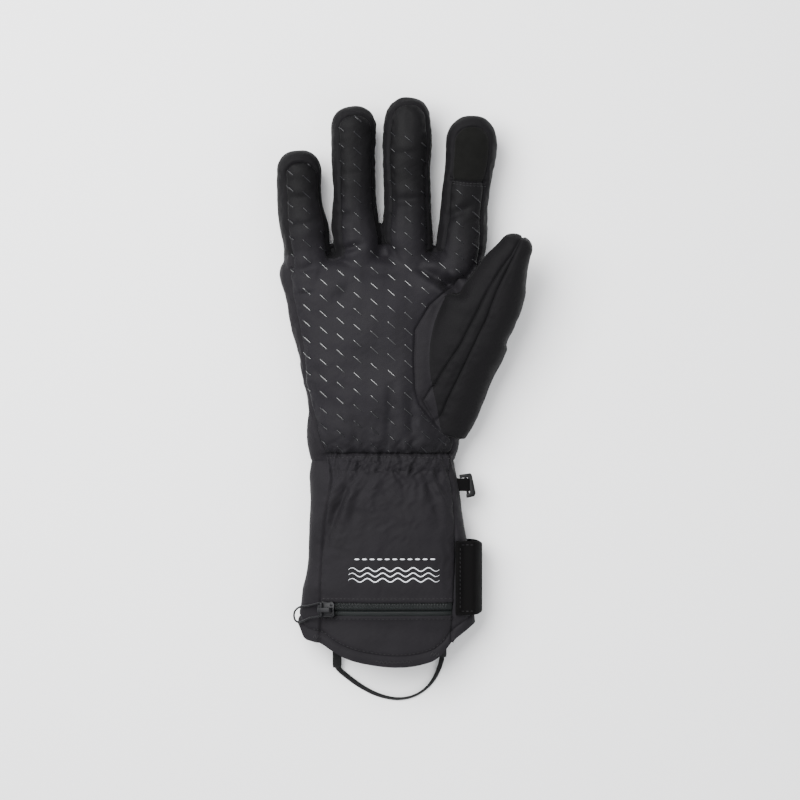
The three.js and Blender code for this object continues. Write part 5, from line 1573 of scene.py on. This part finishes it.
def makeLining(look):
    # out from the hem's edge, steeply in over the first step, and back along its own inside
    rings = []
    depth = np.concatenate([np.linspace(1.0, 12.0, 8), np.linspace(16.0, look["deep"], 12)])
    inward = look["step"] * smooth01(depth / look["stepDeep"])
    inward += look["closing"] * smooth01(depth / look["deep"])
    profile = list(zip(depth, look["inset"] + inward))
    back = [(d, inset + look["thick"]) for d, inset in profile[::-1]]
    angle = 2 * np.pi * np.arange(look["sides"]) / look["sides"]
    c, k = np.cos(angle), np.sin(angle)
    power = 2 / gloveSize["round"]
    for d, inset in profile + back:
        x = np.full(look["sides"], -10.0)
        for _ in range(3):
            y = hemY(x) + d
            mid, half, top, low = trunkAt(y, inset)
            x = mid + half * squared(c, power)
        centre = (top + low) / 2
        bulge = np.abs(k) ** power
        z = np.where(k >= 0, centre + (top - centre) * bulge,
                     np.maximum(centre - (centre - low + gloveSize["flatSink"]) * bulge, low))
        z = z + look["pile"] * waveNoise(np.stack([x, y, z], 1), look["pileSize"], 51)
        rings.append(np.stack([x, y, z], 1))
    verts = np.vstack(rings)
    faces = loftFaces(len(rings), look["sides"], closedPath=True)
    lining = meshPiece("cuffLining", verts, faces, looks["liningCloth"])


makeLining(liningLook)
tabLook = {"width": 5.0, "thick": 1.2, "over": 2.2}


def makeTab(name, node, end):
    # flat tab from the ribbon's end up to where it is sewn in
    _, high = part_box(node)
    z0, z1 = end[2], high[2] / mm - tabLook["thick"] / 2
    ys = np.linspace(end[1] - tabLook["over"], high[1] / mm, 34)
    rise = z0 - 0.3 + (z1 - z0 + 0.3) * smooth01((ys - ys[0]) / 6.0)
    rings = []
    for y, z in zip(ys, rise):
        w = tabLook["width"] / 2 * (1 - 0.10 * bump(y - ys[0], 0.9))
        t = tabLook["thick"] / 2 * (1.0 + 0.9 * bump(y - ys[0] - 1.4, 1.6) - 0.5 * bump(y - ys[0], 0.4))
        a = 2 * np.pi * np.arange(16) / 16
        rings.append(np.stack([end[0] + w * squared(np.cos(a), 0.4), np.full(16, y),
                               z + t * squared(np.sin(a), 0.6)], 1))
    tab = meshPiece(name, np.vstack(rings), loftFaces(len(rings), 16), looks["ribbonCloth"])
    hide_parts(node)


# Leash cord

leashRoute = [(-36.8, -156.4, 3.6), (-36.6, -158.2, 3.2), (-34.9, -160.4, 2.4), (-31.4, -163.4, 1.6),
              (-27, -166.8, 1.4), (-22, -170, 1.5), (-16.6, -172.8, 1.6), (-10.6, -174.9, 1.6),
              (-4.2, -176, 1.6), (2.2, -175.5, 1.6), (8, -173.4, 1.5), (13, -169.8, 1.5),
              (16.8, -165.2, 1.6), (19.3, -160.2, 1.8), (20.9, -155.4, 2.6), (21.4, -152.4, 3.3),
              (21.4, -150.6, 3.6)]
leashLook = {
    "width": 2.8, "thick": 0.95, "step": 0.6,
    # how far the ribbon stands on its edge: share of the way, degrees
    "twist": [(0.0, 0.0), (0.12, 5.0), (0.3, 28.0), (0.5, 50.0), (0.7, 58.0), (0.86, 30.0), (1.0, 0.0)],
}


def makeLeash(look):
    path = densePath(leashRoute, look["step"])
    tangent = np.gradient(path, axis=0)
    tangent /= np.linalg.norm(tangent, axis=1)[:, None]
    side = np.cross(tangent, [0.0, 0.0, 1.0])
    side /= np.linalg.norm(side, axis=1)[:, None]
    over = np.cross(side, tangent)
    turn = np.radians(curveThrough(look["twist"], np.linspace(0, 1, len(path))))
    up = np.cos(turn)[:, None] * over + np.sin(turn)[:, None] * side
    verts, faces = tubeAlong(path, look["width"] / 2, 16, flat=look["thick"] / look["width"], up=up)
    verts[:, 2] = np.maximum(verts[:, 2], 0.02)
    ribbon = meshPiece("leashRibbon", verts, faces, looks["ribbonCloth"])
    length = float(np.linalg.norm(np.diff(path, axis=0), axis=1).sum()) * mm
    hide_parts("leash_ribbon")
    return length


print("leash length:", round(makeLeash(leashLook), 4), "m")
makeTab("leashTabLeft", "leash_tab_left", leashRoute[0])
makeTab("leashTabRight", "leash_tab_right", leashRoute[-1])


# Floor and light

studio = {
    "floorSize": 3000.0,
    "floorColor": (0.955, 0.955, 0.957), "floorRough": 0.85,
    "keyPlace": (-420.0, 330.0, 900.0), "keySize": 800.0, "keyPower": 30.0,
    "fillPlace": (500.0, -380.0, 700.0), "fillSize": 700.0, "fillPower": 2.5,
    "worldColor": (0.80, 0.81, 0.83), "worldStrength": 1.14,
}


def areaLight(name, place, size, power):
    light = bpy.data.lights.new(name, "AREA")
    light.shape = "SQUARE"
    light.size = size * mm
    light.energy = power
    obj = bpy.data.objects.new(name, light)
    obj.location = Vector(place) * mm
    obj.rotation_euler = (-Vector(place)).to_track_quat("-Z", "Y").to_euler()
    bpy.context.scene.collection.objects.link(obj)


def makeStudio(look):
    half = look["floorSize"] / 2 * mm
    mesh = bpy.data.meshes.new("floor")
    mesh.from_pydata([(-half, -half, 0), (half, -half, 0), (half, half, 0), (-half, half, 0)], [],
                     [(0, 1, 2, 3)])
    mat, shader = newMaterial("floorPaper")
    setSockets(mat, shader, {"Base Color": (*look["floorColor"], 1), "Roughness": look["floorRough"]})
    mesh.materials.append(mat)
    floor = bpy.data.objects.new("floor", mesh)
    bpy.context.scene.collection.objects.link(floor)
    areaLight("keyLight", look["keyPlace"], look["keySize"], look["keyPower"])
    areaLight("fillLight", look["fillPlace"], look["fillSize"], look["fillPower"])
    world = bpy.data.worlds.new("studioWorld")
    world.use_nodes = True
    setSockets(world, world.node_tree.nodes["Background"], {
        "Color": (*look["worldColor"], 1), "Strength": look["worldStrength"]})
    bpy.context.scene.world = world


makeStudio(studio)
print("studio made")
